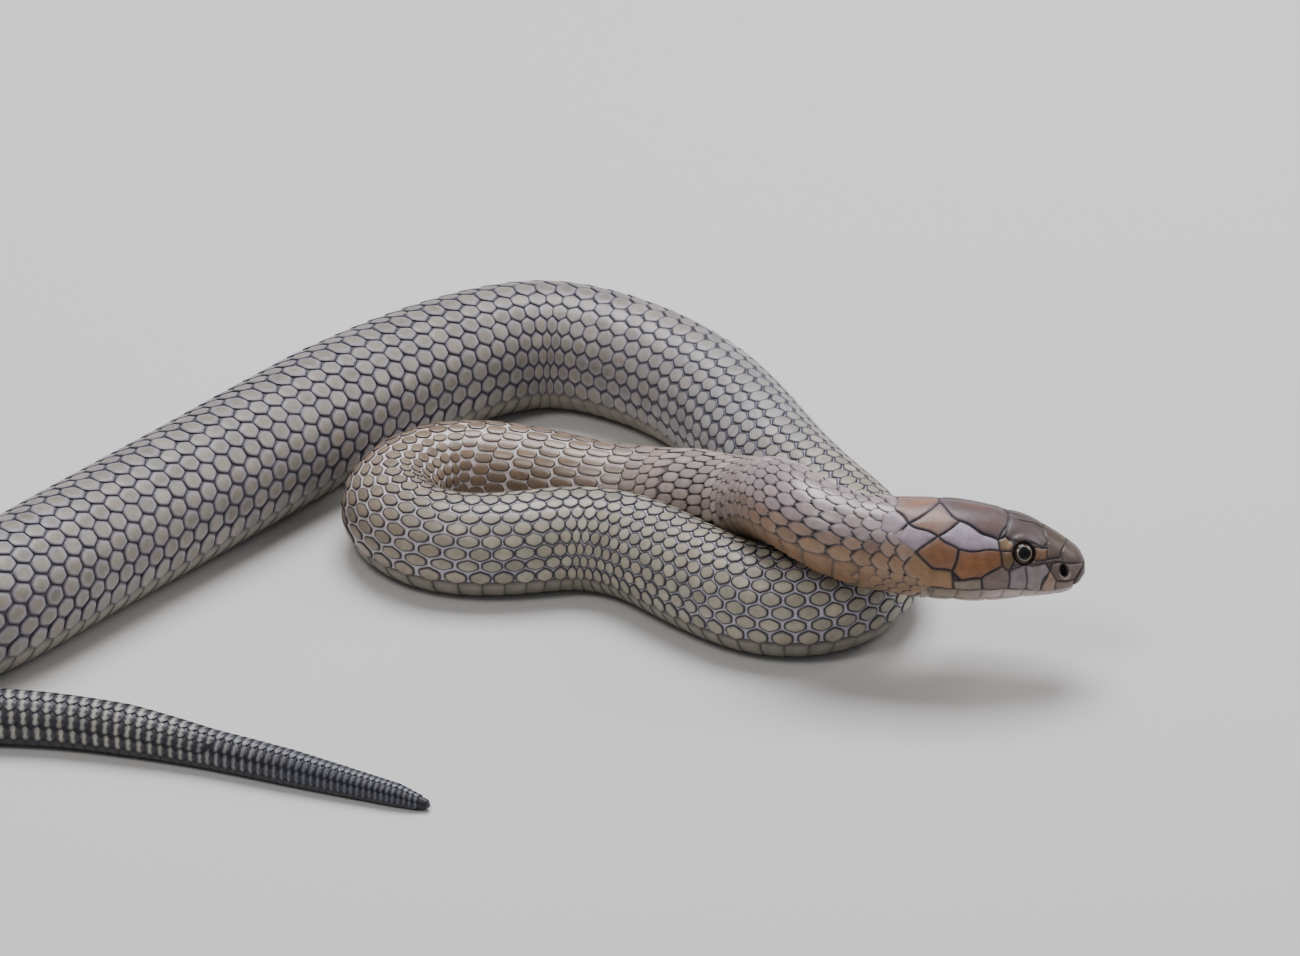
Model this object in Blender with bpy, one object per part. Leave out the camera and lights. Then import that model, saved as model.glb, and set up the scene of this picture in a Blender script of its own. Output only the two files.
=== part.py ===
"""King cobra lying at full length in loose coils, the head lifted over the lower coil.

One animal at life size, in lengths that meet face to face: head, lower jaw, two eyes, neck, trunk, tail.
Sizes are in millimetres here and become metres when a mesh is made. +X is the way the head points,
+Z is up, the floor is z = 0 and the belly lies on it in small flats.
"""
import math

import bmesh
import bpy
import numpy as np

MM = 0.001

# Driving sizes, in millimetres
HEAD_LENGTH = 78.0
TAIL_LENGTH = 470.0
CUT_GAP = 0.4
LIE_FACTOR = 0.9
GIRTH_SIDES = 16
SCUTE_LENGTH = 19.0
SCUTE_STEP = 1.6
SCUTE_RISE = 0.045
BELLY_START_DEG = 105.0

# The middle of the model's floor outline, which becomes the origin
MIDDLE = (29.08, 19.54)

# Way of the body's middle line, head first. Each point is where the body bends or crosses. The neck's
# points have a height. The others lie on the floor, and the body's thickness gives their height.
NECK_WAY = [(346, -8.4, 50.2), (326, -8, 50.6), (309, -3, 54), (297, 11, 54.5), (282, 51, 36.4),
            (268, 70, 27.6), (248, 90, 20), (225, 99, 17)]
INNER_TURN_WAY = [(190, 112), (162, 110), (146, 81), (163, 56), (195, 53)]
FRONT_LIMB_WAY = [(218, 56), (237, 49), (252, 35), (271, 16)]
OUTER_TURN_WAY = [(285, 7), (300, 5), (315, 12), (326, 33), (319, 60)]
BACK_ARC_WAY = [(307, 81), (293, 108), (279, 140), (262, 169), (236, 194), (206, 206), (163, 187), (112, 135),
                (66, 78), (20, 21.5)]
STORED_LOOP_WAY = [(-40, -27), (-92, 0), (-110, 80), (-125, 165), (-180, 222), (-255, 215), (-308, 140),
                   (-322, 30), (-312, -80), (-270, -168), (-205, -198), (-147, -155), (-88, -92)]
TAIL_WAY = [(0, -66), (60, -77), (120, -101), (163, -119)]
FLOOR_WAY = INNER_TURN_WAY + FRONT_LIMB_WAY + OUTER_TURN_WAY + BACK_ARC_WAY + STORED_LOOP_WAY + TAIL_WAY
LANDING = (200.0, 250.0)

# Half thickness of the body: distance from the snout, then from the tail tip
TRUNK_RADII = [(78, 17.3), (100, 15.7), (130, 15.8), (200, 17.3), (300, 18.6), (450, 19.6), (600, 20.8),
               (700, 22.5), (800, 24.8), (900, 26.3), (1450, 26.3), (1750, 23.5)]
TAIL_RADII = [(470, 16.5), (165, 10.3), (119, 9.4), (87, 7.4), (55, 6.6), (33, 5.5), (12, 4.3), (0, 2.4)]

# Where the body is parted into lengths, as distances from the snout
NECK_CUTS = (78, 150, 232)
TRUNK_CUTS = (232, 322, 410, 500, 575, 655, 775, 880, 1040, 1150, 1230, 1380, 1500, 1640, 1800)
TAIL_PIECES = 4

# Head outlines: distance behind the snout, then height above the chin line or half width
HEAD_TOP = [(0, 10), (1, 12.7), (5.6, 17.5), (14.6, 23.3), (21, 26.6), (27.8, 28.6), (36.4, 30.7),
            (45.8, 32.4), (53.6, 33), (67.5, 33.4), (78, 34.6)]
HEAD_BOTTOM = [(0, 5.6), (1.5, 3.6), (3.4, 1), (8.3, -1.3), (15.8, -2.2), (27, -3), (37.5, -3.9),
               (49.5, -3.4), (59.3, -2.9), (71.3, -1.5), (78, -0.5)]
HEAD_HALF_WIDTH = [(0, 3.6), (1, 7), (3, 9.6), (6, 11.8), (10, 13.5), (16, 15.2), (24, 17.2), (32, 19.2),
                   (40, 20.9), (50, 22), (60, 21.6), (70, 19.4), (78, 17.5)]
WIDEST_HEIGHT = [(0, 7.8), (6, 7), (16, 7), (30, 9), (45, 11.5), (60, 14), (78, 17)]
MOUTH_HEIGHT = [(0, 4.6), (3, 2.9), (6.5, 1.5), (15.9, 0.7), (21, 1.3), (29.6, 2.1), (38, 2), (49.5, 2.4),
                (62.6, 3.8), (70, 5.3), (78, 7)]
HEAD_STATIONS = (0.35, 1.2, 3, 5.5, 8.5, 12, 16, 20, 24, 28.5, 33.5, 39, 45, 51, 57, 63, 69, 74, 78)
JAW_START = 4.0
HEAD_BULGE = 2.35
NECK_BULGE = 2.0
BULGE_FADE = (60.0, 78.0)
HEAD_SIDES = 18
HEAD_ROLL_DEG = 20.0
HEAD_TIP = (404.2, -13.8, 34.6)
ROLL_FADE = 120.0
NECK_SQUARE_RUN = 18.0

# The head is drawn as seen from a little above its side. This tilt turns drawn heights into real ones.
VIEW_TILT_DEG = 8.0

# Eye and nostril: distance behind the snout and drawn height, then sizes
EYE_AT = (22.9, 12.7)
EYE_RADIUS = 4.9
EYE_PROUD = 1.5
EYE_SEGMENTS = 16
EYE_BANDS = 10
SOCKET_GAP = 0.35
NOSTRIL_AT = (7.9, 6.4)
NOSTRIL_SIZE = (1.4, 1.3, 2.1)

# Head plates are raised by this much, rooted this deep, with this much groove on each side of a seam
PLATE_RISE = 0.45
PLATE_CROWN = 0.35
PLATE_ROOT = 1.3
PLATE_GROOVE = 0.38

# Corners of the plates on one side: distance behind the snout and drawn height. The other side mirrors them.
SIDE_PLATES = {
    "occipital": [(70.9, 29.1), (67.8, 34), (53.8, 34), (54.1, 31), (65.3, 23.8)],
    "parietal": [(53.5, 34), (29.5, 34), (27.6, 26.5), (29.2, 23.2), (32, 17.3), (39.5, 20.7), (46.3, 24.5),
                 (53.6, 31)],
    "temporal_1": [(65.3, 23.8), (54.1, 30.7), (46.3, 24.5), (55, 19.1)],
    "temporal_2": [(54.7, 18.9), (46.3, 24.5), (32, 17.1), (32.3, 13.6), (46.3, 14.2)],
    "temporal_3": [(70.3, 17.9), (65.3, 22), (55, 18.8), (62.5, 13.3)],
    "temporal_4": [(63.1, 12.7), (55, 18.6), (47, 14.1), (49.4, 6.1), (56.9, 7.7)],
    "temporal_5": [(46.6, 13.6), (32.3, 13.3), (30.8, 9.2), (35.1, 5.8), (38.3, 3.3), (45.7, 3.3),
                   (50, 5.6)],
    "lip_7": [(65.9, 6.4), (63.1, 9.2), (49.4, 5.6), (48.5, 3.3), (48.8, 0.6), (59.4, 2)],
    "lip_6": [(48.5, 3.3), (38.6, 3), (38.9, 0.4), (48.8, 0.6)],
    "lip_5": [(38.3, 3.3), (30.2, 8.3), (28, 5.8), (28.9, 0.4), (38.3, 0.4)],
    "lip_4": [(28, 6.1), (22.1, 8.4), (22.1, -0.2), (28.9, 0.4)],
    "lip_3": [(21.8, 8.3), (14.6, 8.9), (13.7, 5.8), (15.9, 2.7), (16.5, -0.8), (21.8, -0.2)],
    "lip_2": [(13.7, 5.8), (10.6, 2.7), (11.2, -0.7), (16.2, -0.8)],
    "lip_1": [(10.6, 2.7), (3.6, 3.3), (6.2, 0.6), (11.2, -0.7)],
    "postocular_1": [(31.7, 17.3), (29.5, 18.9), (27.9, 16.6), (28.6, 14.5), (32, 14.8)],
    "postocular_2": [(32, 13.9), (28.6, 13.6), (27, 9.2), (28.6, 6.1), (31.1, 8.3)],
    "supraocular": [(29.2, 19.5), (28.3, 23.8), (27.1, 25.2), (14.8, 20.8), (14, 17.6), (17, 17.4),
                    (25.2, 18.2)],
    "preocular": [(18, 14.9), (14.3, 14.8), (13.7, 10.2), (17.6, 10.6)],
    "prefrontal": [(14.8, 26), (6, 21), (5.6, 17.4), (8.4, 13.3), (9.3, 10.8), (13.7, 10.2), (14.2, 16)],
    "internasal": [(5.6, 21), (1.6, 16), (2.2, 11.4), (8.2, 11.6)],
    "nasal": [(12.6, 8.6), (9.2, 10.6), (2.6, 10.9), (3.8, 3.6), (10.4, 3.2), (13.3, 5.9)],
}

# Middle plates: distance behind the snout and side way, one half. The other half mirrors it.
FRONTAL_PLATE = [(15.2, 0), (15, 5.4), (20, 5), (27, 4.6), (29.6, 0)]


def remove_all_objects():
    for thing in list(bpy.data.objects):
        bpy.data.objects.remove(thing, do_unlink=True)


def principled(name, colour, roughness):
    material = bpy.data.materials.new(name)
    material.use_nodes = True
    shader = material.node_tree.nodes["Principled BSDF"]
    shader.inputs["Base Color"].default_value = (*colour, 1.0)
    shader.inputs["Roughness"].default_value = roughness
    shader.inputs["Metallic"].default_value = 0.0
    material.diffuse_color = (*colour, 1.0)
    return material


def smooth_curve(points):
    """Natural cubic spline through points, as a function of distance along their chords."""
    points = np.asarray(points, float)
    knots = np.concatenate(([0.0], np.cumsum(np.linalg.norm(np.diff(points, axis=0), axis=1))))
    step = np.diff(knots)
    count = len(points)
    matrix = np.eye(count)
    right = np.zeros_like(points)
    for i in range(1, count - 1):
        matrix[i, i - 1:i + 2] = (step[i - 1], 2 * (step[i - 1] + step[i]), step[i])
        right[i] = 6 * ((points[i + 1] - points[i]) / step[i] - (points[i] - points[i - 1]) / step[i - 1])
    bend = np.linalg.solve(matrix, right)

    def at(u):
        i = np.clip(np.searchsorted(knots, u, side="right") - 1, 0, count - 2)
        h = step[i][:, None]
        a = (knots[i + 1] - u)[:, None]
        b = (u - knots[i])[:, None]
        cubic = (bend[i] * a ** 3 + bend[i + 1] * b ** 3) / (6 * h)
        line = (points[i] / h - bend[i] * h / 6) * a + (points[i + 1] / h - bend[i + 1] * h / 6) * b
        return cubic + line

    return at, knots[-1]


def body_radius(s, total):
    table = TRUNK_RADII + [(total - back, r) for back, r in TAIL_RADII]
    return np.interp(s, [row[0] for row in table], [row[1] for row in table])


class Way:
    """The middle line, read by distance from the snout."""

    def __init__(self, start):
        guessed_height = NECK_WAY[-1][2]
        at, chord_total = smooth_curve(NECK_WAY + [(x, y, guessed_height) for x, y in FLOOR_WAY])
        self.place = at(np.linspace(0.0, chord_total, 6000))
        run = np.linalg.norm(np.diff(self.place, axis=0), axis=1)
        self.along = start + np.concatenate(([0.0], np.cumsum(run)))
        self.total = self.along[-1]
        landed = np.clip((self.along - LANDING[0]) / (LANDING[1] - LANDING[0]), 0.0, 1.0)
        lying = LIE_FACTOR * body_radius(self.along, self.total)
        self.place[:, 2] += landed * (lying - self.place[:, 2])

    def point(self, s):
        return np.array([np.interp(s, self.along, self.place[:, k]) for k in range(3)])

    def direction(self, s):
        step = self.point(s + 1.0) - self.point(s - 1.0)
        return step / np.linalg.norm(step)


WAY_LINE = Way(HEAD_LENGTH - (NECK_WAY[0][0] - NECK_WAY[1][0]))
TOTAL_LENGTH = WAY_LINE.total
VENT = TOTAL_LENGTH - TAIL_LENGTH


def body_frame(s):
    """Middle point, side way and up way of the section at s. The roll of the head fades down the neck."""
    centre = WAY_LINE.point(s)
    turned = min(1.0, max(0.0, (s - HEAD_LENGTH) / NECK_SQUARE_RUN))
    along = turned * WAY_LINE.direction(s) + (1.0 - turned) * np.array([-1.0, 0.0, 0.0])
    along /= np.linalg.norm(along)
    up = np.array([0.0, 0.0, 1.0]) - along[2] * along
    up /= np.linalg.norm(up)
    side = np.cross(up, along)
    fade = max(0.0, 1.0 - (s - HEAD_LENGTH) / ROLL_FADE)
    roll = math.radians(HEAD_ROLL_DEG) * fade
    return centre, side * math.cos(roll) + up * math.sin(roll), up * math.cos(roll) - side * math.sin(roll)


def body_ring(s, rise):
    """Points round the section at s. The belly side is raised by rise, and nothing goes below the floor."""
    centre, side, up = body_frame(s)
    radius = body_radius(s, TOTAL_LENGTH)
    ring = []
    for k in range(GIRTH_SIDES):
        angle = 360.0 * k / GIRTH_SIDES
        from_top = min(angle, 360.0 - angle)
        size = radius * (1.0 + (rise if from_top > BELLY_START_DEG else 0.0))
        turn = math.radians(angle)
        point = centre + side * math.sin(turn) * size + up * math.cos(turn) * size
        point[2] = max(0.0, point[2])
        ring.append(point)
    return ring


def loft(rings, front, back):
    """Vertices and triangles of a closed body through rings, its two ends closed round front and back."""
    sides = len(rings[0])
    vertices = [point for ring in rings for point in ring] + [front, back]
    faces = []
    for i in range(len(rings) - 1):
        for k in range(sides):
            a, b = i * sides + k, i * sides + (k + 1) % sides
            c, d = a + sides, b + sides
            faces += [(a, b, d), (a, d, c)]
    first, last = len(vertices) - 2, len(vertices) - 1
    base = (len(rings) - 1) * sides
    for k in range(sides):
        faces.append((first, (k + 1) % sides, k))
        faces.append((last, base + k, base + (k + 1) % sides))
    return vertices, faces


def mesh_object(name, vertices, faces, material, smooth=True):
    """A mesh in metres, moved so that the middle of the model's outline is the origin."""
    shifted = [((p[0] - MIDDLE[0]) * MM, (p[1] - MIDDLE[1]) * MM, p[2] * MM) for p in vertices]
    mesh = bpy.data.meshes.new(name)
    mesh.from_pydata(shifted, [], faces)
    mesh.update()
    if signed_volume(mesh) < 0:
        mesh.flip_normals()
    if smooth:
        mesh.shade_smooth()
    mesh.materials.append(material)
    thing = bpy.data.objects.new(name, mesh)
    bpy.context.scene.collection.objects.link(thing)
    return thing


def signed_volume(mesh):
    total = 0.0
    for face in mesh.polygons:
        corners = [mesh.vertices[i].co for i in face.vertices]
        for i in range(1, len(corners) - 1):
            total += corners[0].dot(corners[i].cross(corners[i + 1])) / 6.0
    return total


def scute_stations(start, end):
    """Ring places of one length and how far each belly ring stands out: one long slope and one short step."""
    count = max(2, round((end - start) / SCUTE_LENGTH))
    pitch = (end - start) / count
    stations = [(start, 0.0)]
    for i in range(1, count):
        stations.append((start + i * pitch - SCUTE_STEP / 2, SCUTE_RISE))
        stations.append((start + i * pitch + SCUTE_STEP / 2, 0.0))
    stations.append((end, 0.0))
    return stations


def body_length(name, start, end, material):
    start += CUT_GAP / 2
    end -= CUT_GAP / 2
    rings = []
    for s, rise in scute_stations(start, end):
        rings.append(body_ring(s, rise))
    front = np.mean(rings[0], axis=0)
    back = np.mean(rings[-1], axis=0)
    return mesh_object(name, *loft(rings, front, back), material)


def tail_tip(name, start, material):
    """The last length, drawn in to a blunt round end."""
    stations = [s for s, _ in scute_stations(start + CUT_GAP / 2, TOTAL_LENGTH - 3.0)]
    rings = [body_ring(s, 0.0) for s in stations + [TOTAL_LENGTH - 1.0, TOTAL_LENGTH]]
    front = np.mean(rings[0], axis=0)
    tip = np.mean(rings[-1], axis=0) + WAY_LINE.direction(TOTAL_LENGTH - 1.0) * 1.0
    return mesh_object(name, *loft(rings, front, tip), material)


def read_outline(outline, x):
    return float(np.interp(x, [row[0] for row in outline], [row[1] for row in outline]))


def head_point(x, side, height):
    """A place on the head, from its distance behind the snout, its side way and its height."""
    roll = math.radians(HEAD_ROLL_DEG)
    return np.array([HEAD_TIP[0] - x,
                     HEAD_TIP[1] + height * math.sin(roll) - side * math.cos(roll),
                     HEAD_TIP[2] + height * math.cos(roll) + side * math.sin(roll)])


def head_bulge(x):
    """How boxy the head's section is at x. It turns round towards the neck."""
    share = min(1.0, max(0.0, (x - BULGE_FADE[0]) / (BULGE_FADE[1] - BULGE_FADE[0])))
    return HEAD_BULGE + (NECK_BULGE - HEAD_BULGE) * share * share * (3.0 - 2.0 * share)


def head_surface(x, angle):
    """Side way and height of the head's surface at an angle from the crown, in radians."""
    top, bottom = read_outline(HEAD_TOP, x), read_outline(HEAD_BOTTOM, x)
    widest = read_outline(WIDEST_HEIGHT, x)
    power = 2.0 / head_bulge(x)
    side = read_outline(HEAD_HALF_WIDTH, x) * math.copysign(abs(math.sin(angle)) ** power, math.sin(angle))
    reach = abs(math.cos(angle)) ** power
    height = widest + (top - widest) * reach if math.cos(angle) > 0 else widest - (widest - bottom) * reach
    return side, height


def mouth_angle(x, height):
    """The angle from the crown at which the head's surface has the given height, below its widest level."""
    widest, bottom = read_outline(WIDEST_HEIGHT, x), read_outline(HEAD_BOTTOM, x)
    share = min(1.0, max(0.0, (widest - height) / (widest - bottom)))
    return math.pi - math.acos(share ** (head_bulge(x) / 2.0))


def cranium_ring(x):
    lip = read_outline(MOUTH_HEIGHT, x) + CUT_GAP / 2
    reach = mouth_angle(x, lip)
    ring = []
    for k in range(HEAD_SIDES + 1):
        angle = reach * (2.0 * k / HEAD_SIDES - 1.0)
        ring.append(head_point(x, *head_surface(x, angle)))
    ring.append(head_point(x, 0.0, lip))
    return ring


def jaw_ring(x):
    lip = read_outline(MOUTH_HEIGHT, x) - CUT_GAP / 2
    reach = mouth_angle(x, lip)
    sides = HEAD_SIDES // 2
    ring = []
    for k in range(sides + 1):
        angle = reach + (2.0 * math.pi - 2.0 * reach) * k / sides
        ring.append(head_point(x, *head_surface(x, angle)))
    ring.append(head_point(x, 0.0, lip))
    return ring


def head_body(name, ring_at, stations, material):
    rings = [ring_at(x) for x in stations]
    front = np.mean(rings[0], axis=0)
    back = np.mean(rings[-1], axis=0)
    return mesh_object(name, *loft(rings, front, back), material)


def on_head(x, angle, lift=0.0):
    """A point of the head's surface at an angle from the crown, moved out along the surface's normal."""
    here = head_point(x, *head_surface(x, angle))
    nudge = 0.02
    ahead = head_point(x + 0.2, *head_surface(x + 0.2, angle)) - here
    around = head_point(x, *head_surface(x, angle + nudge)) - here
    normal = np.cross(around, ahead)
    normal /= np.linalg.norm(normal)
    centre = head_point(x, 0.0, read_outline(WIDEST_HEIGHT, x))
    if np.dot(normal, here - centre) < 0:
        normal = -normal
    return here + normal * lift


def drawn_angle(x, drawn_height):
    """The angle from the crown where the near side shows at a drawn height."""
    tilt = math.radians(VIEW_TILT_DEG)
    low, high = 0.0, mouth_angle(x, read_outline(MOUTH_HEIGHT, x) + CUT_GAP / 2)
    for _ in range(30):
        middle = (low + high) / 2
        side, height = head_surface(x, middle)
        if height * math.cos(tilt) - side * math.sin(tilt) > drawn_height:
            low = middle
        else:
            high = middle
    return low


def side_angle(x, side):
    """The angle from the crown where the head is side millimetres away from its middle plane."""
    share = min(1.0, side / read_outline(HEAD_HALF_WIDTH, x))
    return math.asin(share ** (head_bulge(x) / 2.0))


def drawn_in(corners):
    """Corners moved towards their middle by the groove, with a point between each two."""
    middle = np.mean(corners, axis=0)
    moved = []
    for corner in corners:
        reach = middle - corner
        moved.append(corner + reach / np.linalg.norm(reach) * PLATE_GROOVE * 1.3)
    outline = []
    for i, corner in enumerate(moved):
        outline += [corner, (corner + moved[(i + 1) % len(moved)]) / 2]
    return outline, middle


def plate(name, corners, mirror, material):
    """A shallow crowned plate on the head, from its corners as distance behind the snout and angle."""
    spread = np.array([(x, angle * read_outline(HEAD_HALF_WIDTH, x)) for x, angle in corners])
    outline, middle = drawn_in(spread)
    sense = -1.0 if mirror else 1.0

    def place(point, lift):
        x = float(point[0])
        return on_head(x, sense * float(point[1]) / read_outline(HEAD_HALF_WIDTH, x), lift)

    count = len(outline)
    vertices = [place(point, PLATE_RISE) for point in outline] + [place(point, -PLATE_ROOT) for point in outline]
    vertices += [place(middle, PLATE_RISE + PLATE_CROWN), place(middle, -PLATE_ROOT - PLATE_CROWN)]
    faces = []
    for i in range(count):
        j = (i + 1) % count
        faces += [(i, j, 2 * count), (j + count, i + count, 2 * count + 1)]
        faces += [(i, i + count, j + count), (i, j + count, j)]
    return mesh_object(name, vertices, faces, material)


def head_plates(material):
    plates = []
    for name, drawn in SIDE_PLATES.items():
        corners = [(x, drawn_angle(x, height)) for x, height in drawn]
        for mirror in (False, True):
            plates.append(plate(f"{name}_{'left' if mirror else 'right'}", corners, mirror, material))
    right = [(x, side_angle(x, side)) for x, side in FRONTAL_PLATE]
    left = [(x, -angle) for x, angle in reversed(right[1:-1])]
    plates.append(plate("frontal", right + left, False, material))
    return plates


def ball(name, centre, radii, material):
    """A closed round body with its poles along the height, in millimetres."""
    rings = []
    for i in range(1, EYE_BANDS):
        polar = math.pi * i / EYE_BANDS
        rings.append([centre + np.array([radii[0] * math.sin(polar) * math.cos(2 * math.pi * k / EYE_SEGMENTS),
                                         radii[1] * math.sin(polar) * math.sin(2 * math.pi * k / EYE_SEGMENTS),
                                         radii[2] * math.cos(polar)]) for k in range(EYE_SEGMENTS)])
    pole = np.array([0.0, 0.0, radii[2]])
    return mesh_object(name, *loft(rings, centre + pole, centre - pole), material)


def boolean(target, tools, operation):
    """Join tools to target, or cut them away, and keep the largest closed surface."""
    group = bpy.data.collections.new(f"{target.name}_{operation.lower()}")
    for tool in tools:
        group.objects.link(tool)
    modifier = target.modifiers.new(operation.lower(), "BOOLEAN")
    modifier.operation = operation
    modifier.solver = "EXACT"
    modifier.operand_type = "COLLECTION"
    modifier.collection = group
    evaluated = target.evaluated_get(bpy.context.evaluated_depsgraph_get())
    mesh = bpy.data.meshes.new_from_object(evaluated)
    target.modifiers.remove(modifier)
    target.data = mesh
    for tool in tools:
        bpy.data.objects.remove(tool, do_unlink=True)
    bpy.data.collections.remove(group)
    keep_largest(target)


def keep_largest(thing):
    """Delete every closed surface of the mesh except the one with the largest volume."""
    shape = bmesh.new()
    shape.from_mesh(thing.data)
    bmesh.ops.dissolve_degenerate(shape, dist=1e-6, edges=shape.edges)
    bmesh.ops.triangulate(shape, faces=shape.faces)
    unseen = set(shape.faces)
    islands = []
    while unseen:
        island, edge_of_search = set(), [unseen.pop()]
        while edge_of_search:
            face = edge_of_search.pop()
            island.add(face)
            for side in face.edges:
                for neighbour in side.link_faces:
                    if neighbour in unseen:
                        unseen.discard(neighbour)
                        edge_of_search.append(neighbour)
        islands.append(island)
    islands.sort(key=island_volume)
    for island in islands[:-1]:
        bmesh.ops.delete(shape, geom=list(island), context="FACES")
    shape.to_mesh(thing.data)
    shape.free()
    thing.data.update()


def island_volume(island):
    total = 0.0
    for face in island:
        a, b, c = (corner.vert.co for corner in face.loops)
        total += a.dot(b.cross(c)) / 6.0
    return total


def eye_centre(mirror):
    angle = drawn_angle(*EYE_AT)
    return on_head(EYE_AT[0], -angle if mirror else angle, EYE_PROUD - EYE_RADIUS)


def build_head(skin, lip, eye):
    """Cranium with raised plates, sockets and nostrils, then the lower jaw and the eyes."""
    stations = [x for x in HEAD_STATIONS[:-1]] + [HEAD_LENGTH - CUT_GAP / 2]
    head = head_body("head", cranium_ring, stations, skin)
    boolean(head, head_plates(skin), "UNION")
    cutters = []
    socket = EYE_RADIUS + SOCKET_GAP
    nostril_angle = drawn_angle(*NOSTRIL_AT)
    for side, mirror in (("right", False), ("left", True)):
        cutters.append(ball(f"socket_{side}", eye_centre(mirror), (socket, socket, socket), skin))
        place = on_head(NOSTRIL_AT[0], -nostril_angle if mirror else nostril_angle, 0.2)
        cutters.append(ball(f"nostril_{side}", place, NOSTRIL_SIZE, skin))
    boolean(head, cutters, "DIFFERENCE")
    head_body("lower_jaw", jaw_ring, [JAW_START] + [x for x in stations if x > JAW_START + 0.5], lip)
    for side, mirror in (("right", False), ("left", True)):
        ball(f"eye_{side}", eye_centre(mirror), (EYE_RADIUS, EYE_RADIUS, EYE_RADIUS), eye)


def build():
    remove_all_objects()
    bronze = principled("head_bronze", (0.30, 0.16, 0.09), 0.4)
    pale = principled("jaw_pale", (0.55, 0.38, 0.33), 0.45)
    black = principled("eye_black", (0.01, 0.01, 0.012), 0.08)
    brown = principled("neck_brown", (0.27, 0.19, 0.15), 0.45)
    grey = principled("trunk_grey", (0.42, 0.40, 0.36), 0.45)
    dark = principled("tail_dark", (0.10, 0.10, 0.11), 0.45)
    build_head(bronze, pale, black)
    for i in range(len(NECK_CUTS) - 1):
        body_length(f"neck_{i + 1}", NECK_CUTS[i], NECK_CUTS[i + 1], brown)
    cuts = list(TRUNK_CUTS) + [VENT]
    for i in range(len(cuts) - 1):
        body_length(f"trunk_{i + 1:02d}", cuts[i], cuts[i + 1], grey)
    tail_cuts = np.linspace(VENT, TOTAL_LENGTH, TAIL_PIECES + 1)
    for i in range(TAIL_PIECES - 1):
        body_length(f"tail_{i + 1}", tail_cuts[i], tail_cuts[i + 1], dark)
    tail_tip(f"tail_{TAIL_PIECES}", tail_cuts[-2], dark)


build()
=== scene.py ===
# %% [markdown]
# # A king cobra in loose coils
#
# The real animal is one long tube of muscle under a coat of overlapping scales. It could be sculpted by hand,
# but a snake follows rules, so this lesson grows it from a few: one middle line, one thickness for each place
# along it, and a lattice of scales laid on the skin. The solid model made earlier is loaded first and is the
# frame that every piece here fits.

# %% Load the frame
import math
from collections import namedtuple
import bpy
import numpy as np
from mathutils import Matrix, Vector, kdtree


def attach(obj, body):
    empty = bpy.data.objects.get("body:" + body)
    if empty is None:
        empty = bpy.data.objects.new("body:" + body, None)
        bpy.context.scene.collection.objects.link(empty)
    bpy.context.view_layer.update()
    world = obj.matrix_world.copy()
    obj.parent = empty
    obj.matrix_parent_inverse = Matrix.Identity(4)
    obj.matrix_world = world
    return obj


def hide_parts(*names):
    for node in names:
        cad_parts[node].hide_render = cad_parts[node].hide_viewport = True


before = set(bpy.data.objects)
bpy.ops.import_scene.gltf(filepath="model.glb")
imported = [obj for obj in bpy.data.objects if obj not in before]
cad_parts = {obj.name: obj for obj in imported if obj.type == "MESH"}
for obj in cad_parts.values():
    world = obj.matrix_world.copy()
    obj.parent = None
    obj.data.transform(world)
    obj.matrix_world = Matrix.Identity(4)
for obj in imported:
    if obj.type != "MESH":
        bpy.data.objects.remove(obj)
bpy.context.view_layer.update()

# %% [markdown]
# ## The middle line
#
# A snake's backbone bends smoothly, so its middle line is a curve through the places where the body turns or
# crosses itself. The curve could be drawn in the viewport. Points with a spline through them are used here,
# because the same points also made the solid model. The neck's points have a height. All the others lie on
# the floor, where the body's own thickness says how high its middle is. Sizes are in millimetres, and MIDDLE
# is where the frame has its origin among the points.

# %% Way points and thickness
MM = 0.001
MIDDLE = (29.08, 19.54)
HEAD_LENGTH = 78.0
TAIL_LENGTH = 470.0
LIE_FACTOR = 0.9
NECK_WAY = [(346, -8.4, 50.2), (326, -8, 50.6), (309, -3, 54), (297, 11, 54.5), (282, 51, 36.4),
            (268, 70, 27.6), (248, 90, 20), (225, 99, 17)]
INNER_TURN_WAY = [(190, 112), (162, 110), (146, 81), (163, 56), (195, 53)]
FRONT_LIMB_WAY = [(218, 56), (237, 49), (252, 35), (271, 16)]
OUTER_TURN_WAY = [(285, 7), (300, 5), (315, 12), (326, 33), (319, 60)]
BACK_ARC_WAY = [(307, 81), (293, 108), (279, 140), (262, 169), (236, 194), (206, 206), (163, 187),
                (112, 135), (66, 78), (20, 21.5)]
STORED_LOOP_WAY = [(-40, -27), (-92, 0), (-110, 80), (-125, 165), (-180, 222), (-255, 215), (-308, 140),
                   (-322, 30), (-312, -80), (-270, -168), (-205, -198), (-147, -155), (-88, -92)]
TAIL_WAY = [(0, -66), (60, -77), (120, -101), (163, -119)]
FLOOR_WAY = INNER_TURN_WAY + FRONT_LIMB_WAY + OUTER_TURN_WAY + BACK_ARC_WAY + STORED_LOOP_WAY + TAIL_WAY
LANDING = (200.0, 250.0)
TRUNK_RADII = [(78, 17.3), (100, 15.7), (130, 15.8), (200, 17.3), (300, 18.6), (450, 19.6), (600, 20.8),
               (700, 22.5), (800, 24.8), (900, 26.3), (1450, 26.3), (1750, 23.5)]
TAIL_RADII = [(470, 16.5), (165, 10.3), (119, 9.4), (87, 7.4), (55, 6.6), (33, 5.5), (12, 4.3), (0, 2.4)]


def lengths_along(points):
    """The length of a line up to each of its points."""
    return np.concatenate(([0.0], np.cumsum(np.linalg.norm(np.diff(points, axis=0), axis=1))))


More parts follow.
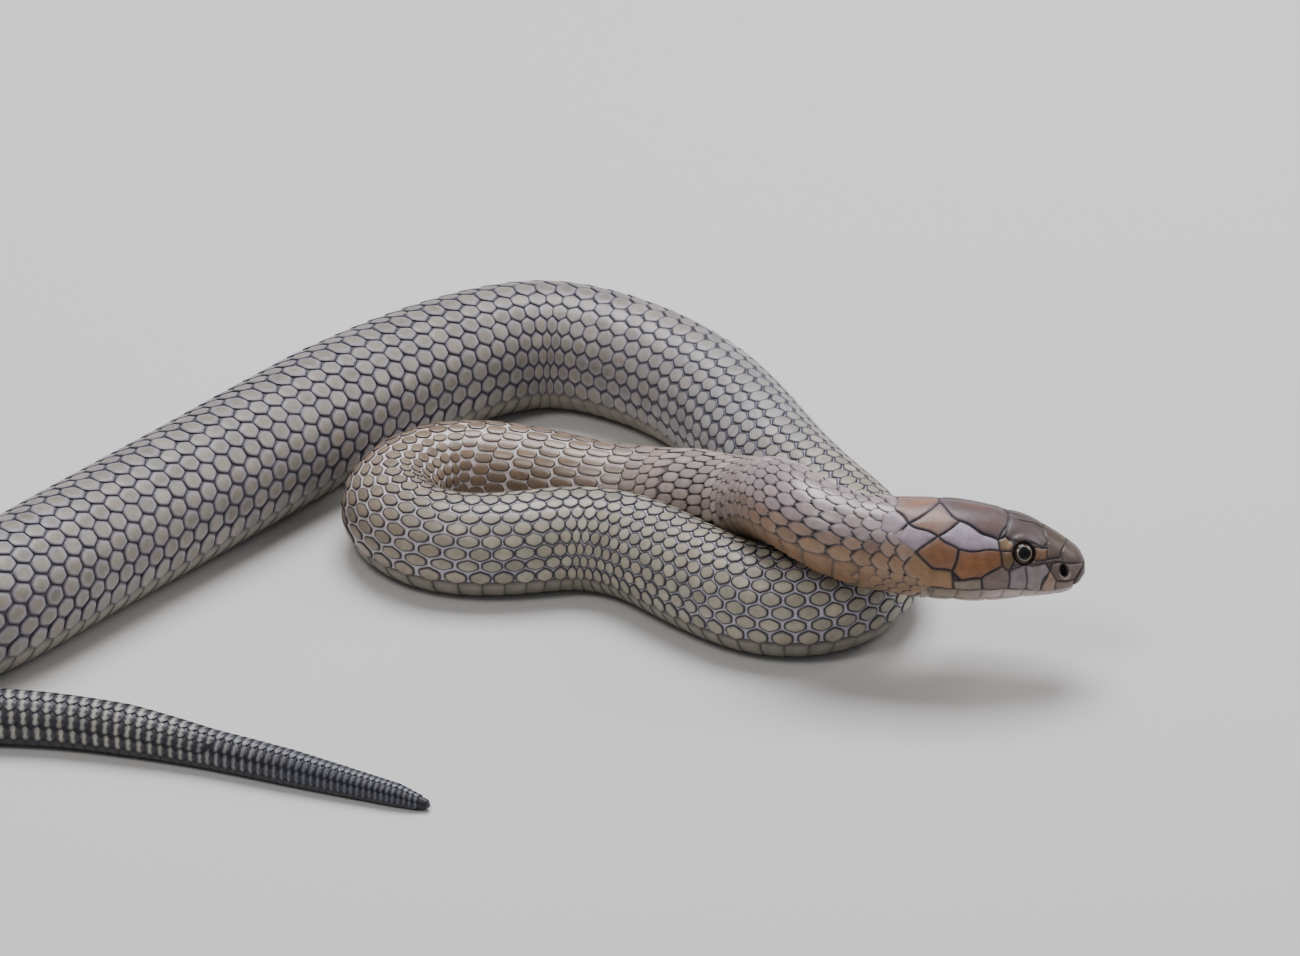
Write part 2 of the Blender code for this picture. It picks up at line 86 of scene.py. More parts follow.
def smooth_curve(points, samples):
    """Natural cubic spline through points, read at evenly spaced distances along their chords."""
    points = np.asarray(points, float)
    knots = lengths_along(points)
    step = np.diff(knots)
    count = len(points)
    matrix = np.eye(count)
    right = np.zeros_like(points)
    for i in range(1, count - 1):
        matrix[i, i - 1:i + 2] = (step[i - 1], 2 * (step[i - 1] + step[i]), step[i])
        right[i] = 6 * ((points[i + 1] - points[i]) / step[i] - (points[i] - points[i - 1]) / step[i - 1])
    bend = np.linalg.solve(matrix, right)
    u = np.linspace(0.0, knots[-1], samples)
    i = np.clip(np.searchsorted(knots, u, side="right") - 1, 0, count - 2)
    h = step[i][:, None]
    a = (knots[i + 1] - u)[:, None]
    b = (u - knots[i])[:, None]
    cubic = (bend[i] * a ** 3 + bend[i + 1] * b ** 3) / (6 * h)
    line = (points[i] / h - bend[i] * h / 6) * a + (points[i + 1] / h - bend[i + 1] * h / 6) * b
    return cubic + line


print(len(NECK_WAY) + len(FLOOR_WAY), "way points")

# %% [markdown]
# ## Frames along the line
#
# Every ring of skin needs a middle, a side way and an up way. They are worked out once, at thousands of
# places, and read by distance from the snout. The up way stays upright, as the belly of a resting snake stays
# on the ground, except near the head, which is rolled a little so that its crown leans away.

# %% Frames
WAY_SAMPLES = 6000
HEAD_ROLL = math.radians(20.0)
ROLL_FADE = 120.0
NECK_SQUARE_RUN = 18.0
STRAIGHT_UP, STRAIGHT_BACK = np.array([0.0, 0.0, 1.0]), np.array([-1.0, 0.0, 0.0])
SHORTEST = 1e-9
way_place = smooth_curve(NECK_WAY + [(x, y, NECK_WAY[-1][2]) for x, y in FLOOR_WAY], WAY_SAMPLES)
way_start = HEAD_LENGTH - (NECK_WAY[0][0] - NECK_WAY[1][0])
way_along = way_start + lengths_along(way_place)
TOTAL = float(way_along[-1])
VENT = TOTAL - TAIL_LENGTH


def read_table(rows, s, column=1):
    """The value at s in rows that each start with their own place."""
    return np.interp(s, [row[0] for row in rows], [row[column] for row in rows])


def body_radius(s):
    return read_table(TRUNK_RADII + [(TOTAL - back, r) for back, r in TAIL_RADII], s)


landed = np.clip((way_along - LANDING[0]) / (LANDING[1] - LANDING[0]), 0.0, 1.0)
way_place[:, 2] += landed * (LIE_FACTOR * body_radius(way_along) - way_place[:, 2])
way_turn = np.gradient(way_place, way_along, axis=0)


def unit(vectors):
    return vectors / np.maximum(np.linalg.norm(vectors, axis=-1, keepdims=True), SHORTEST)


def read_way(table, s):
    return np.stack([np.interp(s, way_along, table[:, k]) for k in range(3)], axis=-1)


def body_frame(s):
    """Middle, side way and up way of the body's section at each s."""
    square = np.clip((s - HEAD_LENGTH) / NECK_SQUARE_RUN, 0.0, 1.0)[..., None]
    along = unit(square * unit(read_way(way_turn, s)) + (1.0 - square) * STRAIGHT_BACK)
    up = unit(STRAIGHT_UP - along[..., 2:] * along)
    side = np.cross(up, along)
    roll = (HEAD_ROLL * np.clip(1.0 - (s - HEAD_LENGTH) / ROLL_FADE, 0.0, 1.0))[..., None]
    across = side * np.cos(roll) + up * np.sin(roll)
    return read_way(way_place, s), across, up * np.cos(roll) - side * np.sin(roll)


print("length", round(TOTAL), "mm, vent at", round(VENT), "mm")

# %% [markdown]
# ## The camera
#
# The photo was taken from a little above, with a long lens that flattens the depth. The camera here looks
# down at the same angle, from far enough away that near and far coils keep the sizes they have in the photo.

# %% Camera
PHOTO_WIDTH_MM = 487.5
CAMERA_ELEVATION = math.radians(28.0)
CAMERA_DISTANCE = 4000.0
SENSOR_MM = 36.0
CAMERA_TARGET = (243.75, 56.8, 42.9)
CLIP_RANGE = (0.1, 60.0)


def metres(x, y, z):
    """A place in the model's frame, from millimetres along the way points' own axes."""
    return Vector(((x - MIDDLE[0]) * MM, (y - MIDDLE[1]) * MM, z * MM))


camera_data = bpy.data.cameras.new("camera")
camera_data.sensor_width = SENSOR_MM
camera_data.lens = SENSOR_MM * CAMERA_DISTANCE / PHOTO_WIDTH_MM
camera = bpy.data.objects.new("camera", camera_data)
bpy.context.scene.collection.objects.link(camera)
look = Vector((0.0, math.cos(CAMERA_ELEVATION), -math.sin(CAMERA_ELEVATION)))
camera.location = metres(*CAMERA_TARGET) - look * CAMERA_DISTANCE * MM
camera.rotation_euler = look.to_track_quat("-Z", "Y").to_euler()
camera_data.clip_start, camera_data.clip_end = CLIP_RANGE
bpy.context.scene.camera = camera
print("lens", round(camera_data.lens), "mm at", CAMERA_DISTANCE * MM, "m")

# %% [markdown]
# ## The head's surface
#
# A cobra's head is a smooth box: flat crown, full cheeks and a blunt snout. It could be sculpted from a
# sphere. Instead each section is a rounded box, and four outlines give its top, bottom, width and widest
# level at every distance behind the snout. Two of them are the head's profile and can be checked by eye.

# %% Head outlines
HEAD_TOP = [(0, 10), (1, 12.7), (5.6, 17.5), (14.6, 23.3), (21, 26.6), (27.8, 28.6), (36.4, 30.7),
            (45.8, 32.4), (53.6, 33), (67.5, 33.4), (78, 34.6), (90, 35)]
HEAD_BOTTOM = [(0, 5.6), (1.5, 3.6), (3.4, 1), (8.3, -1.3), (15.8, -2.2), (27, -3), (37.5, -3.9),
               (49.5, -3.4), (59.3, -2.9), (71.3, -1.5), (78, -0.5), (90, 0)]
HEAD_HALF_WIDTH = [(0, 3.6), (1, 7), (3, 9.6), (6, 11.8), (10, 13.5), (16, 15.2), (24, 17.2), (32, 19.2),
                   (40, 20.9), (50, 22), (60, 21.6), (70, 19.4), (78, 17.5), (90, 16.5)]
WIDEST_HEIGHT = [(0, 7.8), (6, 7), (16, 7), (30, 9), (45, 11.5), (60, 14), (78, 17), (90, 17.4)]
MOUTH_HEIGHT = [(0, 4.6), (3, 2.9), (6.5, 1.5), (15.9, 0.7), (21, 1.3), (29.6, 2.1), (38, 2), (49.5, 2.4),
                (62.6, 3.8), (70, 5.3), (78, 7)]
HEAD_TIP = (404.2, -13.8, 34.6)
HEAD_BULGE = 2.35
NECK_BULGE = 2.0
BULGE_FADE = (60.0, 80.0)
HEAD_TO_NECK = (72.0, 86.0)
OUTLINE_SAMPLES, NUDGE = 600, 1e-7
WIDEST_AT = 50.0


def outline_reader(points):
    """A smooth reader for an outline: the spline through it, read by distance behind the snout."""
    curve = smooth_curve(points, OUTLINE_SAMPLES)
    xs = np.maximum.accumulate(curve[:, 0] + np.arange(len(curve)) * NUDGE)
    return lambda x: np.interp(x, xs, curve[:, 1])


head_top, head_bottom = outline_reader(HEAD_TOP), outline_reader(HEAD_BOTTOM)
head_half_width, widest_height = outline_reader(HEAD_HALF_WIDTH), outline_reader(WIDEST_HEIGHT)
mouth_height = outline_reader(MOUTH_HEIGHT)


def ease(value, low, high):
    """0 below low, 1 above high, and a smooth step between them."""
    t = np.clip((value - low) / (high - low), 0.0, 1.0)
    return t * t * (3.0 - 2.0 * t)


def head_section(x, angle):
    """Side way and height of the head's surface, at an angle from the crown."""
    power = 2.0 / (HEAD_BULGE + (NECK_BULGE - HEAD_BULGE) * ease(x, *BULGE_FADE))
    widest = widest_height(x)
    side = head_half_width(x) * np.sign(np.sin(angle)) * np.abs(np.sin(angle)) ** power
    reach = np.abs(np.cos(angle)) ** power
    height = np.where(np.cos(angle) > 0, widest + (head_top(x) - widest) * reach,
                      widest - (widest - head_bottom(x)) * reach)
    return side, height


def head_place(x, side, height):
    """A place on the head from its distance behind the snout, side way and height."""
    return np.stack([HEAD_TIP[0] - x,
                     HEAD_TIP[1] + height * math.sin(HEAD_ROLL) - side * math.cos(HEAD_ROLL),
                     HEAD_TIP[2] + height * math.cos(HEAD_ROLL) + side * math.sin(HEAD_ROLL)], axis=-1)


print("at", WIDEST_AT, "mm the head is", round(2.0 * float(head_half_width(WIDEST_AT)), 1), "mm wide and",
      round(float(head_top(WIDEST_AT) - head_bottom(WIDEST_AT)), 1), "mm high")

# %% [markdown]
# ## One skin from snout to tail
#
# The skin of the body is a round tube whose belly is pressed flat by the snake's weight. Head and body shapes
# are mixed over a short run behind the jaws, so one function answers for the whole animal: give it a distance
# from the snout and an angle round the girth, and it returns a place. Its normal comes from tiny steps.

# %% Skin surface
FLOOR_PRESS = 1.2
STEP_ALONG, STEP_AROUND = 0.25, 0.01
TRUNK_PROBE = 900.0


def press(points):
    """Rounds what would sink below the floor off onto it."""
    z = points[..., 2]
    soft = FLOOR_PRESS * np.exp(np.minimum(z - FLOOR_PRESS, 0.0) / FLOOR_PRESS)
    points[..., 2] = np.where(z < FLOOR_PRESS, soft, z)
    return points


def skin_place(s, angle, lift=0.0):
    """Places on the skin at distance s from the snout and angle round the girth, 0 on the back."""
    s, angle = np.broadcast_arrays(np.asarray(s, float), np.asarray(angle, float))
    centre, side, up = body_frame(np.maximum(s, way_start))
    radius = (body_radius(s) + lift)[..., None]
    body = centre + (side * np.sin(angle)[..., None] + up * np.cos(angle)[..., None]) * radius
    head = head_place(s, *head_section(s, angle))
    share = ease(s, *HEAD_TO_NECK)[..., None]
    return press(head + (body - head) * share)


def skin_normal(s, angle):
    """Outward normals of the skin."""
    along = skin_place(s + STEP_ALONG, angle) - skin_place(s - STEP_ALONG, angle)
    around = skin_place(s, angle + STEP_AROUND) - skin_place(s, angle - STEP_AROUND)
    return unit(np.cross(along, around))


print("top of the trunk at", np.round(skin_place(TRUNK_PROBE, 0.0), 1))

# %% [markdown]
# ## Meshes and tints
#
# All meshes here are made from arrays of points, faces and one colour for each point, called the tint. The
# tint holds the markings: which zone of the body it is, how dark the rim of a scale is, and how one scale
# differs from the next, and also some painted highlights and painted shade. The shader adds fine mottling on
# top, so skin and scales share one way of colouring.

# %% Tinted meshes
def tinted_mesh(name, points, faces, tint, material, uv=None):
    """A smooth mesh object from millimetre points, with a tint colour on each point."""
    mesh = bpy.data.meshes.new(name)
    points = (np.asarray(points) - np.array([MIDDLE[0], MIDDLE[1], 0.0])) * MM
    mesh.from_pydata(points.tolist(), [], faces)
    mesh.update()
    colours = mesh.color_attributes.new("tint", "FLOAT_COLOR", "POINT")
    rgba = np.concatenate([np.clip(tint, 0.0, 1.0), np.ones((len(tint), 1))], axis=1)
    colours.data.foreach_set("color", rgba.astype(np.float32).ravel())
    if uv is not None:
        layer = mesh.uv_layers.new(name="OFBake")
        corners = np.empty(len(mesh.loops), np.int32)
        mesh.loops.foreach_get("vertex_index", corners)
        layer.data.foreach_set("uv", np.asarray(uv, np.float32)[corners].ravel())
    mesh.shade_smooth()
    mesh.materials.append(material)
    piece = bpy.data.objects.new(name, mesh)
    bpy.context.scene.collection.objects.link(piece)
    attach(piece, "root")
    print(name, len(points), "points", sum(len(face.vertices) - 2 for face in mesh.polygons), "triangles")
    return piece


# %% [markdown]
# ### The horny layer
#
# A snake's skin is covered by thin clear horn, which gives it a soft gloss. Its colour could be painted on an
# image. Here the tint is mottled by noise in the object's own space, because that needs no unwrap and holds up
# from near. A finer noise makes the relief and the uneven gloss. Head, neck and trunk share this recipe.

# %% Skin materials
MOTTLE_DETAIL, MOTTLE_RANGE = 5.0, (0.3, 0.7)
GRAIN_SIZE, GRAIN_DETAIL = 0.35, 3.0
SMOOTHER, ROUGHER = 0.08, 0.1
BUMP_STRENGTH = 0.6
HORN_ROUGHNESS = 0.18


def set_sockets(node, values):
    for socket, value in values.items():
        node.inputs[socket].default_value = value


def tint_material(name):
    """A new material, its nodes and links, its shader, and the colour that its meshes carry."""
    material = bpy.data.materials.new(name)
    material.use_nodes = True
    nodes = material.node_tree.nodes
    tint = nodes.new("ShaderNodeAttribute")
    tint.attribute_name = "tint"
    return material, nodes, material.node_tree.links, nodes["Principled BSDF"], tint.outputs["Color"]


def skin_material(name, roughness, mottle, mottle_size, relief, specular, coat):
    """Scale skin: the tint, mottled by noise, with a fine relief and a clear horny gloss."""
    material, nodes, links, shader, tint = tint_material(name)
    place = nodes.new("ShaderNodeTexCoord")

    def noise(size, detail):
        node = nodes.new("ShaderNodeTexNoise")
        set_sockets(node, {"Scale": 1.0 / (size * MM), "Detail": detail})
        links.new(place.outputs["Object"], node.inputs["Vector"])
        return node.outputs["Fac"]

    def mapped(value, ends):
        node = nodes.new("ShaderNodeMapRange")
        set_sockets(node, ends)
        links.new(value, node.inputs["Value"])
        return node.outputs["Result"]

    spots, grain = noise(mottle_size, MOTTLE_DETAIL), noise(GRAIN_SIZE, GRAIN_DETAIL)
    shade = mapped(spots, {"From Min": MOTTLE_RANGE[0], "From Max": MOTTLE_RANGE[1],
                           "To Min": 1.0 - mottle, "To Max": 1.0 + mottle})
    gloss = mapped(grain, {"To Min": roughness - SMOOTHER, "To Max": roughness + ROUGHER})
    colour = nodes.new("ShaderNodeVectorMath")
    colour.operation = "SCALE"
    links.new(tint, colour.inputs[0])
    links.new(shade, colour.inputs["Scale"])
    bump = nodes.new("ShaderNodeBump")
    set_sockets(bump, {"Strength": BUMP_STRENGTH, "Distance": relief * MM})
    links.new(grain, bump.inputs["Height"])
    links.new(colour.outputs["Vector"], shader.inputs["Base Color"])
    links.new(gloss, shader.inputs["Roughness"])
    links.new(bump.outputs["Normal"], shader.inputs["Normal"])
    set_sockets(shader, {"Specular IOR Level": specular, "Coat Weight": coat, "Coat Roughness": HORN_ROUGHNESS})
    return material


head_skin = skin_material("head_skin", roughness=0.38, mottle=0.14, mottle_size=2.5, relief=0.03,
                          specular=0.26, coat=0.05)
neck_skin = skin_material("neck_skin", roughness=0.34, mottle=0.14, mottle_size=3.0, relief=0.03,
                          specular=0.55, coat=0.20)
trunk_skin = skin_material("trunk_skin", roughness=0.40, mottle=0.14, mottle_size=3.0, relief=0.04,
                           specular=0.40, coat=0.09)
print("materials", head_skin.name, neck_skin.name, trunk_skin.name)

# %% [markdown]
# ## Zone colours
#
# This cobra is bronze on the head, mauve and brown on the neck, beige-grey on the coils, and dark with pale
# spots on the tail. The colours are short lists of named tones along the body, mixed from one to the next.
# Each place has a tone for the face of a scale, a pale painted highlight along its edge (a dark margin on the
# tail instead), its dark rim, and the skin between scales.

# %% Zone colours
NAPE_MAUVE = (0.34, 0.265, 0.265)
NECK_MAUVE = (0.37, 0.30, 0.27)
NECK_BROWN = (0.19, 0.128, 0.082)
ARC_PALE = (0.32, 0.30, 0.29)
LIMB_BEIGE = (0.33, 0.295, 0.225)
COIL_GREY = (0.235, 0.21, 0.165)
LOOP_GREY = (0.20, 0.18, 0.145)
TAIL_SPOT = (0.40, 0.38, 0.32)
TIP_BLUE = (0.10, 0.11, 0.14)
SKIN_WHITE = (0.62, 0.55, 0.53)
SKIN_LILAC = (0.46, 0.43, 0.49)
SKIN_GREY = (0.16, 0.148, 0.168)
SKIN_BLUE = (0.25, 0.24, 0.32)
SKIN_DARK = (0.03, 0.026, 0.034)
SEAM_DARK = (0.010, 0.011, 0.018)
RIM_BROWN = (0.03, 0.02, 0.02)
RIM_BLUE = (0.018, 0.018, 0.028)
RIM_LILAC = (0.045, 0.041, 0.054)
# The first three of these tones are painted pale highlights for the edges of scales; the dark one is the tail's
# own margin.
MAUVE_GLINT = (0.30, 0.25, 0.26)
BEIGE_GLINT = (0.34, 0.28, 0.26)
LILAC_GLINT = (0.31, 0.285, 0.33)
MARGIN_DARK = (0.10, 0.10, 0.11)
SCALE_TONES = [(60, NAPE_MAUVE), (120, NAPE_MAUVE), (160, NECK_MAUVE), (205, NECK_MAUVE), (250, NECK_BROWN),
               (320, NECK_BROWN), (400, LIMB_BEIGE), (600, LIMB_BEIGE), (670, ARC_PALE),
               (780, COIL_GREY), (1200, COIL_GREY), (1400, LOOP_GREY), (VENT - 60, LOOP_GREY),
               (VENT + 40, TAIL_SPOT), (TOTAL - 115, TAIL_SPOT), (TOTAL - 50, TIP_BLUE)]
SKIN_TONES = [(60, SEAM_DARK), (190, SKIN_DARK), (235, SKIN_WHITE), (330, SKIN_WHITE), (400, SKIN_LILAC),
              (580, SKIN_LILAC), (660, SKIN_BLUE), (760, SKIN_GREY), (1300, SKIN_GREY), (1500, SKIN_LILAC),
              (VENT - 60, SKIN_LILAC), (VENT, SKIN_DARK)]
RIM_TONES = [(60, SEAM_DARK), (130, SEAM_DARK), (170, RIM_BROWN), (330, RIM_BROWN), (400, RIM_BLUE),
             (600, RIM_BLUE), (720, RIM_LILAC), (1300, RIM_LILAC), (1500, RIM_BLUE), (TOTAL, RIM_BLUE)]
GLINT_AND_MARGIN_TONES = [(60, MAUVE_GLINT), (300, BEIGE_GLINT), (420, LILAC_GLINT), (VENT - 60, LILAC_GLINT),
                (VENT, MARGIN_DARK)]


def tone_at(tones, s):
    """The colour at s, mixed between the two nearest tones of a list."""
    places = [place for place, _ in tones]
    return np.stack([np.interp(s, places, channel) for channel in zip(*(tone for _, tone in tones))], axis=-1)


print("tones of the scales", len(SCALE_TONES), "and of the skin between them", len(SKIN_TONES))

# %% [markdown]
# ## Head plates
#
# The crown and cheeks of a cobra carry large smooth plates that meet in dark seams. They could be made as
# separate shells, but on the animal they are one skin, so here the skin itself is dense enough to be pressed
# in along the seams. The plates are listed by their corners, as seen from the side. Corners of neighbours
# that nearly meet are moved to one shared place.

# %% Plate corners
VIEW_TILT = math.radians(8.0)
SIDE_PLATES = {
    "occipital": [(70.9, 29.1), (67.8, 36), (53.8, 36), (54.1, 31), (65.3, 23.8)],
    "parietal": [(53.8, 36), (29.5, 36), (28.4, 26.8), (29.2, 23.2), (32, 17.3), (39.5, 20.7), (46.3, 24.5),
                 (54.1, 31)],
    "temporal_1": [(65.3, 23.8), (54.1, 31), (46.3, 24.5), (55, 19)],
    "temporal_2": [(55, 19), (46.3, 24.5), (32, 17.3), (32.1, 13.7), (46.5, 14)],
    "temporal_3": [(70.3, 17.9), (65.3, 23.8), (55, 19), (62.8, 13)],
    "temporal_4": [(62.8, 13), (55, 19), (46.5, 14), (49.6, 5.9), (56.9, 7.7)],
    "temporal_5": [(46.5, 14), (32.1, 13.7), (30.6, 8.6), (35.1, 5.8), (38.5, 3.2), (45.7, 3.3), (49.6, 5.9)],
    "nuchal": [(65.3, 23.8), (70.9, 29.1), (75.6, 27.6), (76.2, 21.6), (70.3, 17.9)],
    "lip_7": [(66.5, 6.4), (65.5, 11), (62.8, 13), (56.9, 7.7), (49.6, 5.9), (48.6, 3.2), (48.8, -1),
              (59.4, 1)],
    "lip_6": [(48.6, 3.2), (38.5, 3.2), (38.7, -1), (48.8, -1)],
    "lip_5": [(38.5, 3.2), (30.6, 8.6), (28, 5.9), (28.9, -1), (38.7, -1)],
    "lip_4": [(28, 5.9), (22, 8.5), (22.1, -1.5), (28.9, -1)],
    "lip_3": [(22, 8.5), (14.6, 8.9), (13.6, 5.8), (15.9, 2.7), (16.4, -2), (22.1, -1.5)],
    "lip_2": [(13.6, 5.8), (10.6, 2.8), (11.2, -2), (16.4, -2)],
    "lip_1": [(10.6, 2.8), (3.4, 2.8), (5.5, -1.5), (11.2, -2)],
    "postocular_1": [(32, 17.3), (29.2, 19.2), (26.6, 16.4), (28.3, 13.9), (32.1, 13.7)],
    "postocular_2": [(32.1, 13.7), (28.3, 13.9), (26.4, 9.4), (28, 5.9), (30.6, 8.6)],
    "supraocular": [(29.2, 19.2), (29.2, 23.2), (28.4, 26.8), (15, 22.1), (14.2, 17.2), (16, 15.2),
                    (25.8, 17)],
    "preocular": [(19.4, 14.8), (14.2, 15), (13.7, 10.2), (19.2, 10.6)],
    "prefrontal": [(15, 26), (6, 21), (8.4, 13.3), (9.3, 10.8), (13.7, 10.2), (14.2, 15), (15, 22.1)],
    "internasal": [(6, 21), (0.6, 18), (0.8, 9.2), (8.4, 9.4), (8.4, 13.3)],
    "nasal": [(12.3, 8.6), (8.4, 9.4), (0.8, 9.2), (3.4, 2.8), (10.6, 2.8), (13.6, 5.8)],
}
SEAM_SNAP = 0.9


def snapped(plates):
    """The corners, with those of different plates that nearly meet moved to one shared place."""
    groups = []
    for corner in [corner for outline in plates.values() for corner in outline]:
        near = [group for group in groups if math.dist(corner, group[0]) < SEAM_SNAP]
        if near:
            near[0].append(corner)
        else:
            groups.append([corner])
    shared = {corner: tuple(np.mean(group, axis=0)) for group in groups for corner in group}
    return {name: [shared[corner] for corner in outline] for name, outline in plates.items()}


plates = snapped(SIDE_PLATES)
print(len(plates), "plates on each side of the head")

# %% [markdown]
# ### From a side drawing to the head
#
# A corner is given as a distance behind the snout and a height in the side view, so its angle round the head
# is looked up: the section is sampled from crown to chin, and the drawn height picks the angle. Heights above
# the crown land on the middle of the head, where the plates of both sides meet. The frontal plate lies across
# that middle, so it has a rear edge of its own and no seam along it. A slight wave keeps seams from being
# ruler-straight.

# %% Seams on the head
ANGLES = np.linspace(0.0, math.pi, 361)
CROWN_ANGLES = 40
SEAM_STEP = 0.22
SEAM_WAVE = 0.4
WAVE_ALONG, WAVE_UP = (0.13, 0.55), (0.5, 0.2)
MOUTH_END = 60.0
FRONTAL_CORNER, FRONTAL_REAR = (28.4, 26.8), 30.4
FRONTAL_SPAN, ON_MIDDLE, FRONTAL_MARKS = (16.0, 29.0), 0.01, 30


def drawn_angle(x, drawn):
    """The angle from the crown where the near side shows at a drawn height."""
    side, height = head_section(np.full_like(ANGLES, x), ANGLES)
    seen = height * math.cos(VIEW_TILT) - side * math.sin(VIEW_TILT)
    peak = int(np.argmax(seen[:CROWN_ANGLES]))
    return float(np.interp(-drawn, -seen[peak:], ANGLES[peak:], left=0.0)) if drawn < seen[peak] else 0.0


def mouth_angle(x):
    """The angle from the crown where the mouth line lies."""
    height = head_section(np.full_like(ANGLES, x), ANGLES)[1]
    low = int(np.argmax(ANGLES > math.pi / 2))
    return float(np.interp(-float(mouth_height(x)), -height[low:], ANGLES[low:]))


def waved(x, height):
    """A drawn place moved a little, so that no seam is ruler-straight."""
    return (x + SEAM_WAVE * np.sin(WAVE_ALONG[0] * x + WAVE_ALONG[1] * height),
            height + SEAM_WAVE * np.sin(WAVE_UP[0] * x + WAVE_UP[1] * height))


def line_on_head(start, end):
    """Distances and angles along a drawn line."""
    count = max(2, int(math.dist(start, end) / SEAM_STEP))
    xs, heights = waved(np.linspace(start[0], end[0], count), np.linspace(start[1], end[1], count))
    return [(x, drawn_angle(x, h)) for x, h in zip(xs, heights)]


def shows(x, angle):
    """Seams end at the mouth, and none runs along the middle of the frontal plate."""
    on_frontal = angle < ON_MIDDLE and FRONTAL_SPAN[0] < x < FRONTAL_SPAN[1]
    return not on_frontal and (angle < mouth_angle(x) or x > MOUTH_END)


seam_marks = []
for outline in plates.values():
    for start, end in zip(outline, outline[1:] + outline[:1]):
        seam_marks += line_on_head(start, end)
for share in np.linspace(0.0, 1.0, FRONTAL_MARKS):
    x = FRONTAL_CORNER[0] + (FRONTAL_REAR - FRONTAL_CORNER[0]) * share
    seam_marks.append((x, drawn_angle(*FRONTAL_CORNER) * (1.0 - share)))
seam_marks = np.array([mark for mark in seam_marks if shows(*mark)])
print("seam marks", len(seam_marks))

# %% [markdown]
# ### Lips and chin
#
# Below the line of the mouth the jaw has its own row of lip plates, and under the chin pairs of shields meet
# in the middle. They could be drawn plate by plate like the upper ones. They are placed by simple steps along
# the jaw, since little of them shows.

# %% Mouth and chin seams
LOWER_LIP_SEAMS = (8.5, 12.5, 17.5, 23, 30, 38, 47, 56)
CHIN_CROSS_SEAMS = (10, 22, 36, 48)
CHIN_START, CHIN_END = 5.5, 58.0
MOUTH_FRONT, MOUTH_WAVE = 3.6, 0.3
LIP_SHARE = 0.42
LIP_SLANT, SHIELD_SLANT = 1.5, 2.0
LIP_MARKS, SHIELD_MARKS, END_MARKS = 24, 40, 60


def lip_angle(x):
    """The angle from the crown where the lower lip plates end."""
    top = mouth_angle(x)
    return top + (math.pi - top) * LIP_SHARE


mouth_marks = [(x, mouth_angle(x)) for x in np.arange(MOUTH_FRONT, MOUTH_END, SEAM_STEP)]
front_angle = mouth_angle(MOUTH_FRONT)
mouth_marks += [(MOUTH_FRONT + MOUTH_WAVE * math.sin(angle - front_angle), angle)
                for angle in np.linspace(front_angle, math.pi, END_MARKS)]
chin_marks = [(x, angle) for x in np.arange(CHIN_START, CHIN_END, SEAM_STEP)
              for angle in (lip_angle(x), math.pi)]
for x in LOWER_LIP_SEAMS:
    chin_marks += np.linspace((x, mouth_angle(x)), (x + LIP_SLANT, lip_angle(x)), LIP_MARKS).tolist()
for x in CHIN_CROSS_SEAMS:
    chin_marks += np.linspace((x + SHIELD_SLANT, lip_angle(x)), (x, math.pi), SHIELD_MARKS).tolist()
chin_marks += np.linspace((CHIN_END, mouth_angle(CHIN_END)), (CHIN_END, math.pi), END_MARKS).tolist()
mouth_marks, chin_marks = np.array(mouth_marks), np.array(chin_marks)
print("mouth marks", len(mouth_marks), "chin marks", len(chin_marks))

# %% [markdown]
# ## The skin mesh
#
# The skin is one closed mesh of rings. A box could be smoothed and sculpted instead, but rings keep every
# point at a known distance and angle. On the head a ring every third of a millimetre carries the seams, the
# lips, the eye sockets and the nostrils. Behind it two stitching rings halve the number of points each time,
# because the scales cover the body's skin and only a smooth tube shows between them.

# %% Rings of the skin
HEAD_RING_POINTS = 384
BODY_RING_POINTS = HEAD_RING_POINTS // 4
CROWN_CROWDING = 0.12
SNOUT_RINGS = (0.04, 0.12, 0.25, 0.42)
HEAD_RING_START, HEAD_RING_STEP = 0.62, 0.32
HEAD_SKIN_END = 86.0
STITCH_STEP = 0.6
BODY_RING_START, BODY_RING_STEP = 1.5, 2.5
TAIL_RINGS = (TOTAL - 0.5, TOTAL)
head_rings = [*SNOUT_RINGS, *np.arange(HEAD_RING_START, HEAD_SKIN_END, HEAD_RING_STEP)]
body_rings = [*np.arange(HEAD_SKIN_END + BODY_RING_START, TOTAL - 1.0, BODY_RING_STEP), *TAIL_RINGS]
ring_list = [(s, HEAD_RING_POINTS) for s in head_rings]
ring_list += [(HEAD_SKIN_END + STITCH_STEP, HEAD_RING_POINTS // 2),
              (HEAD_SKIN_END + 2.0 * STITCH_STEP, BODY_RING_POINTS)]
ring_list += [(s, BODY_RING_POINTS) for s in body_rings]
skin_s = np.concatenate([np.full(count, s) for s, count in ring_list])
skin_angle = np.concatenate([np.arange(count) / count * 2.0 * math.pi for _, count in ring_list])
skin_angle = np.where(skin_angle > math.pi, skin_angle - 2.0 * math.pi, skin_angle)
skin_angle = skin_angle - CROWN_CROWDING * np.sin(2.0 * skin_angle)
print(len(ring_list), "rings,", len(skin_s), "points")

# %% [markdown]
# ### Distance to the seams
#
# Every point of the head asks how near the nearest seam is. Comparing it with every mark would be slow, so the
# marks go into a tree that answers quickly, together with their mirror, as both sides of the head are alike.

# %% Distance to the seams
FAR_AWAY = 99.0


def both_sides(marks):
    """The marks and their mirror, as places on the head."""
    return skin_place(np.tile(marks[:, 0], 2), np.concatenate([marks[:, 1], -marks[:, 1]]))


def nearest(marks, points):
    """The distance from each point to the nearest mark, in millimetres."""
    tree = kdtree.KDTree(len(marks))
    for i, mark in enumerate(marks):
        tree.insert(mark, i)
    tree.balance()
    return np.array([tree.find(point)[2] for point in points])


